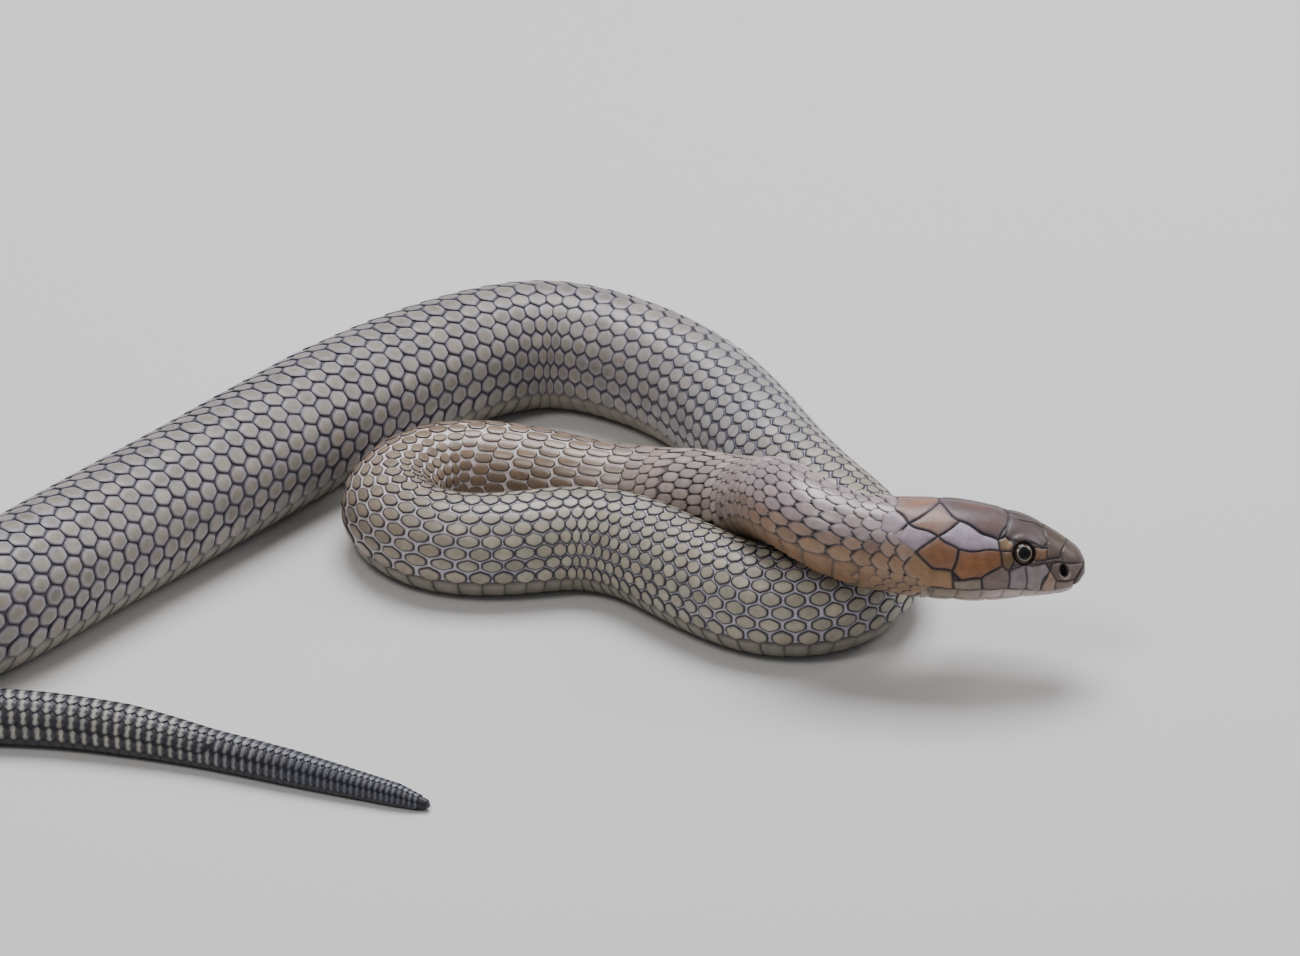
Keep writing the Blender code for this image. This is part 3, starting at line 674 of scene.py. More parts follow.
on_head = skin_s < HEAD_SKIN_END
head_s, head_angle = skin_s[on_head], skin_angle[on_head]
head_points, head_normals = skin_place(head_s, head_angle), skin_normal(head_s, head_angle)
seam_gap, mouth_gap, chin_gap = (nearest(both_sides(marks), head_points)
                                 for marks in (seam_marks, mouth_marks, chin_marks))
section_side, section_height = head_section(head_s, head_angle)
below_mouth = section_height < mouth_height(head_s)
any_seam = np.minimum(seam_gap, np.where(below_mouth, chin_gap, FAR_AWAY))
print("points on a seam", int((any_seam < SEAM_STEP).sum()), "of", len(head_points))

# %% [markdown]
# ### The plate under each point
#
# The colours need to know which plate a point belongs to. Each plate's outline is walked round once, with the
# same wave as its seams, and every crossing of an edge turns outside into inside. What lies in no plate, at
# the back of the head, is left bare for the first scales.

# %% Plates of the points
EDGE_SAMPLES = 12
BARE_START = 50.0
CHIN_REAR_MARGIN = 3.0


def inside(outline, x, height):
    """Which drawn places lie inside a plate's waved outline."""
    edge = [waved(start[0] + (end[0] - start[0]) * t, start[1] + (end[1] - start[1]) * t)
            for start, end in zip(outline, outline[1:] + outline[:1])
            for t in np.linspace(0.0, 1.0, EDGE_SAMPLES)[:-1]]
    within = np.zeros(len(x), bool)
    for (x0, h0), (x1, h1) in zip(edge, edge[1:] + edge[:1]):
        crosses = (h0 > height) != (h1 > height)
        within ^= crosses & (x < (x1 - x0) * (height - h0) / (h1 - h0 if h1 != h0 else 1.0) + x0)
    return within


drawn_height = section_height * math.cos(VIEW_TILT) - np.abs(section_side) * math.sin(VIEW_TILT)
plate_of = {name: inside(outline, head_s, drawn_height) for name, outline in plates.items()}
on_chin = below_mouth & (head_s < CHIN_END + CHIN_REAR_MARGIN)
bare = (head_s > BARE_START) & ~np.any(list(plate_of.values()), axis=0) & ~on_chin
print("points left bare for scales", int(bare.sum()))

# %% [markdown]
# ### Pressing in seams and lips
#
# Each point of the head is moved along its normal. Seams are narrow grooves with a soft dome between them,
# and the upper lip stands over the lower one. A displacement image could do the same, but would need a map of
# the head. The distances just found give the grooves directly.

# %% Plates and lips in relief
SEAM_WIDTH, SEAM_DEPTH = 0.32, 0.55
CHIN_SEAM_SHARE = 0.45
CROWN_SEAM_SHARE, CROWN_LINE = 0.3, 0.005
PLATE_DOME, DOME_REACH = 0.5, 1.3
SNOUT_DOME, SNOUT_RUN = 0.35, (12.0, 32.0)
BARE_STEP, BARE_DEPTH = 0.1, 0.5
UPPER_LIP, LOWER_LIP, LIP_REACH = 0.35, -0.5, 1.8
MOUTH_WIDTH, MOUTH_DEPTH = 0.4, 1.1
JAW_FADE = (56.0, 64.0)


def ridge(distance, middle, width):
    """1 at a middle distance, and falling off softly within a width on both sides of it."""
    return np.exp(-((distance - middle) / width) ** 2)


seam_share = np.where(below_mouth, CHIN_SEAM_SHARE, 1.0)
crown_share = np.where(np.abs(head_angle) < CROWN_LINE, CROWN_SEAM_SHARE, 1.0)
jaw_fade = 1.0 - ease(head_s, *JAW_FADE)
relief = -SEAM_DEPTH * seam_share * crown_share * ridge(any_seam, 0.0, SEAM_WIDTH)
dome_share = SNOUT_DOME + (1.0 - SNOUT_DOME) * ease(head_s, *SNOUT_RUN)
relief += PLATE_DOME * dome_share * (1.0 - np.exp(-any_seam / DOME_REACH))
relief = np.where(bare, -BARE_DEPTH * ease(seam_gap, 0.0, 1.0) - BARE_STEP, relief)
relief += np.where(below_mouth, LOWER_LIP, UPPER_LIP) * np.exp(-mouth_gap / LIP_REACH) * jaw_fade
relief -= MOUTH_DEPTH * ridge(mouth_gap, 0.0, MOUTH_WIDTH) * jaw_fade
print("plates and lips", round(float(relief.min()), 2), "to", round(float(relief.max()), 2), "mm")

# %% [markdown]
# ### Eye sockets and nostrils
#
# Round the eye the skin dips into a socket with a raised rim, under a brow, and the nostril is a deep slanted
# pit. They could be cut with a tool of the same shape. Here they join the same relief, so the skin stays one
# smooth surface. Each is measured from a spot on the skin with its own forward and upward way.

# %% Sockets and nostrils
EYE_AT = (22.9, 12.7)
SOCKET_RADIUS, SOCKET_DEPTH, SOCKET_EDGE = 4.1, 2.4, (-0.5, 0.25)
EYE_RIM_HEIGHT, EYE_RIM_OUT, EYE_RIM_WIDTH = 0.4, 0.7, 0.5
BROW_HEIGHT, BROW_RADIUS, BROW_WIDTH = 0.8, 5.6, 1.3
BROW_ABOVE, BROW_REACH = (1.0, 4.5), 9.0
NOSTRIL_AT, NOSTRIL_HALF, NOSTRIL_SLANT = (7.9, 6.4), (1.65, 2.5), 0.35
NOSTRIL_DEPTH, NOSTRIL_EDGE = 2.6, (0.75, 1.1)
NOSTRIL_RIM_HEIGHT, NOSTRIL_RIM_AT, NOSTRIL_RIM_WIDTH = 0.25, 1.35, 0.25
OTHER_SIDE_DEPTH = 12.0
SIDES = (1.0, -1.0)
Spot = namedtuple("Spot", "place normal forward upward")


def surface_spot(x, angle):
    """One spot of the skin, with its normal, forward way and upward way."""
    s, a = np.array([x]), np.array([angle])
    place, normal = skin_place(s, a)[0], skin_normal(s, a)[0]
    forward = unit(-STRAIGHT_BACK - normal[0] * normal)
    upward = np.cross(normal, forward)
    return Spot(place, normal, forward, upward if upward[2] > 0 else -upward)


def spot_distance(points, spot, half_sizes, slant=0.0):
    """Distance from a spot, measured so that 1 is the edge of an oval with these half sizes."""
    ahead = (points - spot.place) @ spot.forward
    above = (points - spot.place) @ spot.upward
    turned_ahead = ahead * math.cos(slant) + above * math.sin(slant)
    turned_above = above * math.cos(slant) - ahead * math.sin(slant)
    other_side = np.abs((points - spot.place) @ spot.normal) > OTHER_SIDE_DEPTH
    reach = np.hypot(turned_ahead / half_sizes[0], turned_above / half_sizes[1])
    return np.where(other_side, FAR_AWAY, reach)


eye_spots = [surface_spot(EYE_AT[0], side * drawn_angle(*EYE_AT)) for side in SIDES]
nostril_spots = [surface_spot(NOSTRIL_AT[0], side * drawn_angle(*NOSTRIL_AT)) for side in SIDES]
eye_reach = np.min([spot_distance(head_points, spot, (1.0, 1.0)) for spot in eye_spots], axis=0)
nostril_reach = np.min([spot_distance(head_points, spot, NOSTRIL_HALF, NOSTRIL_SLANT)
                        for spot in nostril_spots], axis=0)
socket = 1.0 - ease(eye_reach, SOCKET_RADIUS + SOCKET_EDGE[0], SOCKET_RADIUS + SOCKET_EDGE[1])
relief = relief * (1.0 - socket) - SOCKET_DEPTH * socket
relief += EYE_RIM_HEIGHT * ridge(eye_reach, SOCKET_RADIUS + EYE_RIM_OUT, EYE_RIM_WIDTH)
above_eye = np.max([(head_points - spot.place) @ spot.upward * (eye_reach < BROW_REACH) for spot in eye_spots],
                   axis=0)
relief += BROW_HEIGHT * ridge(eye_reach, BROW_RADIUS, BROW_WIDTH) * ease(above_eye, *BROW_ABOVE)
relief -= NOSTRIL_DEPTH * (1.0 - ease(nostril_reach, *NOSTRIL_EDGE))
relief += NOSTRIL_RIM_HEIGHT * ridge(nostril_reach, NOSTRIL_RIM_AT, NOSTRIL_RIM_WIDTH)
print("relief", round(float(relief.min()), 2), "to", round(float(relief.max()), 2), "mm")

# %% [markdown]
# ### Tones of the plates
#
# The plates behind the eye are bronze and mauve, the snout is grey-brown, and the lips fade to a pale pink
# below. Each plate has a tone of its own. Some have an orange heart as well, and some a pale sheen, which is
# a painted highlight; each is given as a share.

# %% Tones of the plates
# Part of the parietal's dark tone is painted shade: the crown there faces away from the light. The rest is its
# own mauve-brown.
PLATE_TONES = {
    "occipital": (0.21, 0.13, 0.10), "parietal": (0.085, 0.06, 0.06), "temporal_1": (0.25, 0.16, 0.12),
    "temporal_2": (0.38, 0.30, 0.38), "temporal_3": (0.34, 0.265, 0.31), "temporal_4": (0.21, 0.11, 0.06),
    "temporal_5": (0.20, 0.095, 0.05), "nuchal": (0.29, 0.22, 0.24),
    "lip_7": (0.26, 0.165, 0.09), "lip_6": (0.23, 0.19, 0.145),
    "lip_5": (0.19, 0.14, 0.125), "lip_4": (0.24, 0.205, 0.21), "lip_3": (0.26, 0.22, 0.22),
    "lip_2": (0.30, 0.21, 0.16), "lip_1": (0.22, 0.165, 0.14), "postocular_1": (0.26, 0.17, 0.10),
    "postocular_2": (0.16, 0.10, 0.05), "supraocular": (0.095, 0.07, 0.068), "preocular": (0.17, 0.10, 0.065),
    "prefrontal": (0.095, 0.067, 0.053), "internasal": (0.10, 0.073, 0.06), "nasal": (0.14, 0.105, 0.09)}
SNOUT_GREY = (0.08, 0.06, 0.054)
CHIN_PINK = (0.46, 0.37, 0.35)
CHIN_OLIVE = (0.25, 0.20, 0.15)
# The mauve tone below is a painted sky reflection near the seams, high on the rear of the head, and also tints
# random patches.
MAUVE_PATCH_AND_REFLECTION = (0.17, 0.14, 0.18)
ORANGE_HEART = (0.36, 0.15, 0.055)
ORANGE_PLATES = {"occipital": 0.3, "temporal_1": 0.22, "temporal_4": 0.4, "temporal_5": 0.5, "lip_7": 0.3,
                 "preocular": 0.15, "parietal": 0.12}
# A painted highlight: the pale sheen tone and the plates it is laid on, with its share on each.
PAINTED_SHEEN = (0.44, 0.38, 0.43)
PAINTED_SHEEN_PLATES = {"temporal_2": 0.6, "temporal_3": 0.6, "nuchal": 0.5, "parietal": 0.15, "temporal_1": 0.25,
                "occipital": 0.2}
# Painted shade for the eye sockets.
SOCKET_SHADE = (0.02, 0.012, 0.012)
# Painted shade for the nostril pits.
NOSTRIL_SHADE = (0.006, 0.004, 0.006)
print(len(PLATE_TONES), "plate tones")

# %% [markdown]
# ### Painting the head
#
# The tint is laid on in layers, as a painter would: the tone of each plate, a mauve painted sky reflection
# near its seams high on the rear of the head, the orange hearts, a painted pale sheen, the chin, then the
# nearly black seams, and painted shade in the sockets and nostrils. A slow noise made of a few sine waves keeps
# every plate from being one flat colour.

# %% Head tint
NOISE_WAVES, WAVE_LENGTHS, WAVE_SHIFT, NOISE_SCALE = 7, (0.6, 1.8), 6.28, 4.0
PATCH_SIZE, PATCH_SEED, PATCH_CONTRAST = 14.0, 3, 0.10
STREAK_SIZE, STREAK_SEED, STREAK_CONTRAST, STREAK_STRETCH = 2.2, 5, 0.05, (0.25, 1.0, 1.0)
REFLECTION_REACH, REFLECTION_RUN, REFLECTION_HEIGHTS, REFLECTION_SHARE = 1.2, (24.0, 44.0), (4.0, 18.0), 0.5
HEART_REACH, HEART_BASE, HEART_PATCHES = 1.6, 0.65, 0.5
SHEEN_BASE, SHEEN_PATCHES = 0.4, 0.6
CHIN_RUN, CHIN_TINT_END = (30.0, 52.0), 70.0
SEAM_TINT_WIDTH, CHEEK_SEAM_EXTRA, CHEEK_RUN = 0.38, 0.16, (26.0, 50.0)
SNOUT_SEAM_DARK, SNOUT_SEAM_RUN = 0.7, (16.0, 34.0)
MOUTH_DARK, MOUTH_TINT_WIDTH = 0.97, 0.62
SOCKET_TINT_EDGE, NOSTRIL_TINT_EDGE = (0.1, 0.6), (0.9, 1.15)
NOSTRIL_LINE_SHARE, NOSTRIL_LINE_AT, NOSTRIL_LINE_WIDTH, UNDER_NOSTRIL = 0.6, 1.25, 0.16, 0.8


def slow_noise(points, size, seed):
    """A smooth pattern between about -1 and 1 over places, from sine waves with seeded directions."""
    waves = np.random.default_rng(seed)
    total = np.zeros(len(points))
    for _ in range(NOISE_WAVES):
        way = unit(waves.normal(size=3)) / size * waves.uniform(*WAVE_LENGTHS)
        total += np.sin(points @ way * 2.0 * math.pi + waves.uniform(0, WAVE_SHIFT))
    return total / NOISE_SCALE


def mix(a, b, share):
    share = np.clip(share, 0.0, 1.0)[..., None]
    return np.asarray(a) * (1.0 - share) + np.asarray(b) * share


patches = slow_noise(head_points, PATCH_SIZE, PATCH_SEED)
streaks = slow_noise(head_points * np.array(STREAK_STRETCH), STREAK_SIZE, STREAK_SEED)
head_tint = np.tile(SNOUT_GREY, (len(head_s), 1))
for name, tone in PLATE_TONES.items():
    head_tint[plate_of[name]] = tone
# Painted reflection: mauve sky light mixed in near the seams of the rear plates, only high on the head; the
# slow patches add random mauve as well.
seam_reflection = np.exp(-any_seam / REFLECTION_REACH) * ease(head_s, *REFLECTION_RUN) * ease(section_height, *REFLECTION_HEIGHTS)
head_tint = mix(head_tint, MAUVE_PATCH_AND_REFLECTION, REFLECTION_SHARE * seam_reflection + PATCH_CONTRAST * np.clip(patches, 0.0, 1.0))
heart = (1.0 - np.exp(-any_seam / HEART_REACH)) * (HEART_BASE + HEART_PATCHES * patches)
for name, share in ORANGE_PLATES.items():
    head_tint = mix(head_tint, ORANGE_HEART, share * heart * plate_of[name])
# Painted highlight: a pale sheen mixed into the tint of the listed plates.
for name, share in PAINTED_SHEEN_PLATES.items():
    head_tint = mix(head_tint, PAINTED_SHEEN, share * (SHEEN_BASE - SHEEN_PATCHES * patches) * plate_of[name])
chin_tone = mix(CHIN_PINK, CHIN_OLIVE, ease(head_s, *CHIN_RUN))
head_tint = np.where((below_mouth & (head_s < CHIN_TINT_END))[:, None], chin_tone, head_tint)
head_tint *= (1.0 + PATCH_CONTRAST * patches + STREAK_CONTRAST * streaks)[:, None]
seam_dark = ridge(any_seam, 0.0, SEAM_TINT_WIDTH + CHEEK_SEAM_EXTRA * ease(head_s, *CHEEK_RUN)) * seam_share
seam_dark *= SNOUT_SEAM_DARK + (1.0 - SNOUT_SEAM_DARK) * ease(head_s, *SNOUT_SEAM_RUN)
head_tint = mix(head_tint, SEAM_DARK, seam_dark)
head_tint = mix(head_tint, SEAM_DARK, MOUTH_DARK * ridge(mouth_gap, 0.0, MOUTH_TINT_WIDTH) * jaw_fade)
# Painted shade: the skin down in the eye's socket, round the ball, is tinted nearly black.
socket_edge = ease(eye_reach - SOCKET_RADIUS, *SOCKET_TINT_EDGE)
head_tint = mix(head_tint, SOCKET_SHADE, 1.0 - socket_edge)
below_spot = np.max([(spot.place - head_points) @ spot.upward > UNDER_NOSTRIL
                     for spot in nostril_spots], axis=0)
nostril_line = ridge(nostril_reach, NOSTRIL_LINE_AT, NOSTRIL_LINE_WIDTH) * below_spot
head_tint = mix(head_tint, CHIN_PINK, NOSTRIL_LINE_SHARE * nostril_line)
# Painted shade: the inside of the nostril pit is tinted nearly black.
head_tint = mix(head_tint, NOSTRIL_SHADE, 1.0 - ease(nostril_reach, *NOSTRIL_TINT_EDGE))
print("head tint from", np.round(head_tint.min(axis=0), 3), "to", np.round(head_tint.max(axis=0), 3))

# %% [markdown]
# ### Closing the skin
#
# The relief is added on the head and fades out behind it, where the skin lies a little under the scales. The
# snout and the tail tip are closed with a fan of triangles. The skin takes the place of every flesh part of
# the solid model. Only the eyes stay apart, because they are made of something else.

# %% Skin piece
SKIN_SINK, SINK_START = 0.4, 80.0
SNOUT_CAP = (-0.25, 7.8)
TAIL_CAP, TAIL_WAY_STEPS = 1.5, 8


def ring_faces(rings):
    """Faces between rings, and three triangles to each pair of points where a ring has half as many."""
    faces = []
    start = 0
    for (_, count), (_, next_count) in zip(rings[:-1], rings[1:]):
        after = start + count
        k = np.arange(next_count)
        if next_count == count:
            j = (k + 1) % count
            faces += np.stack([start + k, start + j, after + j, after + k], axis=1).tolist()
        else:
            a, b, c = start + 2 * k, start + 2 * k + 1, start + (2 * k + 2) % count
            d, e = after + k, after + (k + 1) % next_count
            for corners in ([a, b, d], [b, c, e], [b, e, d]):
                faces += np.stack(corners, axis=1).tolist()
        start = after
    return faces


def closed_faces(rings):
    """Faces between rings, and a fan at each end to the two points that come after all the rings."""
    first, last = rings[0][1], rings[-1][1]
    top = sum(count for _, count in rings)
    base = top - last
    fans = [[top, (k + 1) % first, k] for k in range(first)]
    return ring_faces(rings) + fans + [[top + 1, base + k, base + (k + 1) % last] for k in range(last)]


skin_points = skin_place(skin_s, skin_angle, -SKIN_SINK)
raised = head_points + head_normals * relief[:, None]
sunk = ease(head_s, SINK_START, HEAD_SKIN_END)[:, None]
skin_points[on_head] = raised + (skin_points[on_head] - raised) * sunk
skin_tint = tone_at(SKIN_TONES, skin_s)
skin_tint[on_head] = np.where(bare[:, None], skin_tint[on_head], head_tint)
snout_tip = head_place(SNOUT_CAP[0], 0.0, SNOUT_CAP[1])
tail_way = unit(way_place[-1] - way_place[-1 - TAIL_WAY_STEPS])
tail_end = skin_points[-BODY_RING_POINTS:].mean(axis=0) + tail_way * TAIL_CAP
skin = tinted_mesh("skin", np.concatenate([skin_points, [snout_tip, tail_end]]), closed_faces(ring_list),
                   np.concatenate([skin_tint, [SNOUT_GREY, TIP_BLUE]]), head_skin)
flesh = [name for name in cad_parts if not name.startswith("eye")]
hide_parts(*flesh)

# %% [markdown]
# ## Eyes
#
# A snake has no lids: the eye lies behind a clear round scale. From outside it is a glossy dark ball with a
# black pupil in a thin tan ring. It could be two shells, one clear. The ball here is one fine dome with the
# colours painted by distance from its axis, which stays sharp from any side and needs no picture.

# %% Eyes
EYE_RADIUS, EYE_PROUD = 5.2, 1.5
EYE_SEGMENTS, EYE_BANDS, EYE_CROWDING = 72, 80, 0.6
PUPIL_EDGE, RING_EDGE = (2.39, 2.51), (2.7, 2.95)
EYE_TAN = (0.26, 0.20, 0.155)
EYE_BROWN = (0.028, 0.016, 0.012)
EYE_BLACK = (0.002, 0.002, 0.003)
EYE_FINISH = {"Roughness": 0.3, "Specular IOR Level": 0.2, "Coat Weight": 0.4, "Coat Roughness": 0.04}
eye_gloss, _, eye_links, eye_shader, eye_tint = tint_material("eye_gloss")
eye_links.new(eye_tint, eye_shader.inputs["Base Color"])
set_sockets(eye_shader, EYE_FINISH)


def eye_ball(label, spot):
    """One eye, set in its socket and facing along the skin's normal."""
    centre = spot.place + spot.normal * (EYE_PROUD - EYE_RADIUS)
    polar = np.linspace(0.0, math.pi, EYE_BANDS + 1)[1:-1]
    polar, turn = np.meshgrid(polar - EYE_CROWDING * np.sin(polar),
                              np.arange(EYE_SEGMENTS) / EYE_SEGMENTS * 2.0 * math.pi, indexing="ij")
    outward = np.cos(turn)[..., None] * spot.forward + np.sin(turn)[..., None] * spot.upward
    directions = np.sin(polar)[..., None] * outward + np.cos(polar)[..., None] * spot.normal
    points = (centre + directions * EYE_RADIUS).reshape(-1, 3)
    axis_gap = (np.sin(polar) * EYE_RADIUS).ravel()
    tint = mix(EYE_BLACK, EYE_TAN, ease(axis_gap, *PUPIL_EDGE))
    tint = mix(tint, EYE_BROWN, ease(axis_gap, *RING_EDGE))
    tint = np.where((np.cos(polar) > 0).ravel()[:, None], tint, EYE_BROWN)
    poles = [centre + spot.normal * EYE_RADIUS, centre - spot.normal * EYE_RADIUS]
    eye = tinted_mesh(f"eye_ball_{label}", np.concatenate([points, poles]),
                      closed_faces([(0, EYE_SEGMENTS)] * len(polar)),
                      np.concatenate([tint, [EYE_BLACK, EYE_BROWN]]), eye_gloss)
    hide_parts(f"eye_{label}")


for label, spot in zip(("right", "left"), eye_spots):
    eye_ball(label, spot)

# %% [markdown]
# ## One scale
#
# A body scale is a smooth rounded plate, domed in the middle, sunk at its front edge and standing over its
# neighbour at the back. Each could be a copied object, but a template of points that numpy stretches makes
# thousands quickly. It has three outlines: pointed at front and back on the nape, blunter where the scales of
# the neck stand in columns, and pointed at the sides on the coils. It is laid on the skin by distance and
# angle, so it bends with the body and is squeezed on the inside of a turn, as real scales are.

# %% Scale template
SCALE_SEGMENTS = 16
SCALE_RINGS = (0.45, 0.72, 0.87, 0.95, 1.0)
SCALE_HEIGHTS = (0.96, 0.84, 0.62, 0.38, 0.1)
SHARPNESS = 8.0
POINTED_END, BLUNT_END = 0.5, 0.25
SKIRT_SIZE = 0.94


def rounded(along, across, taper):
    """The reach of an outline whose ends along one way are tapered."""
    return (across ** SHARPNESS + (along + taper * across) ** SHARPNESS) ** (-1.0 / SHARPNESS)


def scale_template():
    """Turn, three outlines, ring size, dome height and under flag of a scale's points."""
    turn = np.arange(SCALE_SEGMENTS) / SCALE_SEGMENTS * 2.0 * math.pi
    ahead, across = np.abs(np.cos(turn)), np.abs(np.sin(turn))
    rings = list(zip(SCALE_RINGS, SCALE_HEIGHTS, [0.0] * len(SCALE_RINGS))) + [(SKIRT_SIZE, 0.0, 1.0)]
    size, height, under = np.array([(0.0, 1.0, 0.0)] + [ring for ring in rings for _ in turn]
                                   + [(0.0, 0.0, 1.0)]).T
    edges = (turn, rounded(ahead, across, POINTED_END), rounded(ahead, across, BLUNT_END),
             rounded(across, ahead, POINTED_END))
    turns, *outlines = (np.concatenate([[0.0], np.tile(edge, len(rings)), [0.0]]) for edge in edges)
    return turns, outlines, size, height, under


def scale_faces():
    """Faces of one scale: a fan, bands between the rings, a skirt and a closed underside."""
    k = np.arange(SCALE_SEGMENTS)
    j = (k + 1) % SCALE_SEGMENTS
    faces = [[0, 1 + b, 1 + a] for a, b in zip(k, j)]
    for ring in range(len(SCALE_RINGS)):
        inner, outer = 1 + ring * SCALE_SEGMENTS, 1 + (ring + 1) * SCALE_SEGMENTS
        faces += [[inner + a, inner + b, outer + b, outer + a] for a, b in zip(k, j)]
    base = 1 + len(SCALE_RINGS) * SCALE_SEGMENTS
    return faces + [[base + SCALE_SEGMENTS, base + a, base + b] for a, b in zip(k, j)]


SCALE_FACES = scale_faces()
TURNS, OUTLINES, SIZE, DOME, UNDER = scale_template()
print("one scale has", len(SIZE), "points")

# %% [markdown]
# ## The lattice
#
# Scales sit in rows along the body. Each row has one scale to a belly ring, and each row is shifted against
# the next, by half a ring on the coils, which gives the honeycomb. On the neck the shift is small, so the
# scales stand in slanting columns. The rings are counted by adding up their lengths, which are long at
# mid-body and short on the tail. One pattern copied along the body would not follow its changing girth.

# %% Lattice
RING_LENGTHS = [(50, 5.2), (75, 6.2), (100, 7.2), (140, 8.6), (170, 9.3), (245, 9.3), (310, 7.0), (450, 6.6),
                (500, 5.7), (590, 5.7), (660, 7.0), (700, 7.4), (800, 8.0), (900, 8.44), (1450, 8.44),
                (1750, 7.6)]
TAIL_RING_LENGTHS = [(470, 6.0), (250, 5.4), (150, 4.7), (105, 4.1), (57, 3.0), (10, 2.1)]
RINGS_FROM, FINE_STEP = 40.0, 0.5
ROWS = 15
COAT_HALF_DEG = 113.0
BACK_ROW_SHARE, LOW_ROW_SHARE = 1.4, 1.3
COLUMNS_BEGIN, COLUMNS_END, COLUMN_STEP = (120.0, 165.0), (270.0, 330.0), 0.25
SHIFT = [(50, 0.48), (95, 0.46), (140, 0.16), (165, 0.05), (265, 0.05), (335, 0.5)]
BEYOND = 1e6


def ring_length(s):
    return read_table(RING_LENGTHS + [(TOTAL - back, length) for back, length in TAIL_RING_LENGTHS], s)


fine_s = np.arange(RINGS_FROM, TOTAL + 1.0, FINE_STEP)
ring_count = np.concatenate(([0.0], np.cumsum(FINE_STEP / ring_length(fine_s[:-1] + FINE_STEP / 2.0))))


def rings_at(s):
    """How many rings lie between the start of the count and s."""
    return np.interp(s, fine_s, ring_count)


def stacked_share(s):
    """How far the scales stand in columns, each column half a scale to the side of the next."""
    return ease(s, *COLUMNS_BEGIN) * (1.0 - ease(s, *COLUMNS_END))


def row_angles(rows):
    """Middle angle and angular width of each row: wider on the spine and next to the belly."""
    shares = np.ones(rows)
    shares[rows // 2] = BACK_ROW_SHARE
    shares[0] = shares[-1] = LOW_ROW_SHARE
    widths = shares / shares.sum() * math.radians(2.0 * COAT_HALF_DEG)
    edges = np.concatenate(([0.0], np.cumsum(widths))) - math.radians(COAT_HALF_DEG)
    return (edges[1:] + edges[:-1]) / 2.0, widths


def lattice(start, end, rows, shift):
    """Middle distance, angle, length and angular width of every scale between two distances."""
    angles, widths = row_angles(rows)
    rings = np.arange(math.floor(rings_at(start)) - rows, math.ceil(rings_at(end)) + 1).astype(float)
    share = read_table(shift, np.interp(rings, ring_count, fine_s))
    found = []
    for row in range(rows):
        places = rings + abs(row - rows // 2) * share
        s = np.interp(places, ring_count, fine_s, left=0.0, right=BEYOND)
        length = ring_length(s) * np.gradient(places)
        keep = (s >= start) & (s < end)
        s, length = s[keep], length[keep]
        side_step = np.where(rings[keep] % 2, COLUMN_STEP, -COLUMN_STEP) * stacked_share(s) * widths[row]
        found.append(np.stack([s, angles[row] + side_step, length, np.full_like(s, widths[row])], 1))
    return np.concatenate(found)


print("rings to the vent", round(float(rings_at(VENT))), "and in all", round(ring_count[-1]))

# %% [markdown]
# ## How the coat looks along the body
#
# Each row of COAT_LOOK and TAIL_LOOK is a distance, then a scale's half length and half width as shares of its
# cell, where its dark rim starts, how far its back edge stands up, and how strong the band along its edge is: a
# painted pale highlight on the body, a dark margin on the tail. Values at a few places are enough, because all
# of them change slowly along a real snake.

# %% Looks of the coat
COAT_LOOK = [(60, 0.80, 0.76, 0.86, 0.40, 0.15), (85, 0.72, 0.68, 0.86, 0.40, 0.15),
             (125, 0.66, 0.60, 0.87, 0.30, 0.2), (165, 0.58, 0.50, 0.88, 0.12, 0.2),
             (205, 0.575, 0.49, 0.88, 0.12, 0.2), (245, 0.53, 0.435, 0.93, 0.08, 0.1),
             (300, 0.52, 0.435, 0.93, 0.08, 0.1), (345, 0.51, 0.55, 0.84, 0.14, 0.2),
             (420, 0.52, 0.60, 0.78, 0.12, 0.1), (640, 0.52, 0.60, 0.79, 0.14, 0.15),
             (760, 0.56, 0.63, 0.86, 0.28, 0.6), (900, 0.57, 0.64, 0.86, 0.34, 0.7),
             (1450, 0.57, 0.64, 0.86, 0.34, 0.7), (1650, 0.54, 0.62, 0.85, 0.26, 0.4),
             (VENT - 1, 0.52, 0.60, 0.82, 0.20, 0.4)]
TAIL_LOOK = [(VENT, 0.54, 0.58, 0.78, 0.15, 0.5), (VENT + 90, 0.54, 0.58, 0.66, 0.12, 0.5),
             (TOTAL, 0.54, 0.58, 0.66, 0.06, 0.5)]
LONG, WIDE, RIM_START, TILT, GLINT_MARGIN = range(1, 6)
print(len(COAT_LOOK), "rows for the coat and", len(TAIL_LOOK), "for the tail")

# %% [markdown]
# ### The shape of a coat
#
# The template is stretched to each scale's own size and set on the skin. On the outside of a turn the skin is
# stretched, and the scales are shortened again by part of that. Small seeded differences in size and height
# keep the coat from looking printed.

# %% Shape of a coat
STRETCH_STEP, STRETCH_POWER = 0.5, 0.3
TURN_OVER = (290.0, 345.0)
WOBBLES, SIZE_WOBBLE, TILT_WOBBLE = 5, 0.025, 0.2
DOME_SHARE, WIDE_SPAN_SHARE = 0.06, 1.1
SINK, THICK = 0.12, 0.55
FLOOR_GAP = 0.05


def over_skin(s, angle, lift):
    """Places over the skin by a lift along its normal, kept above the floor."""
    s, angle = s.ravel(), angle.ravel()
    points = skin_place(s, angle) + skin_normal(s, angle) * lift.ravel()[:, None]
    points[:, 2] = np.maximum(points[:, 2], FLOOR_GAP)
    return points


def scale_outline(s0):
    """The outline that scales have at s0, mixed from the three of the template."""
    outline = OUTLINES[0] + (OUTLINES[1] - OUTLINES[0]) * stacked_share(s0)
    return outline + (OUTLINES[2] - outline) * ease(s0, *TURN_OVER)


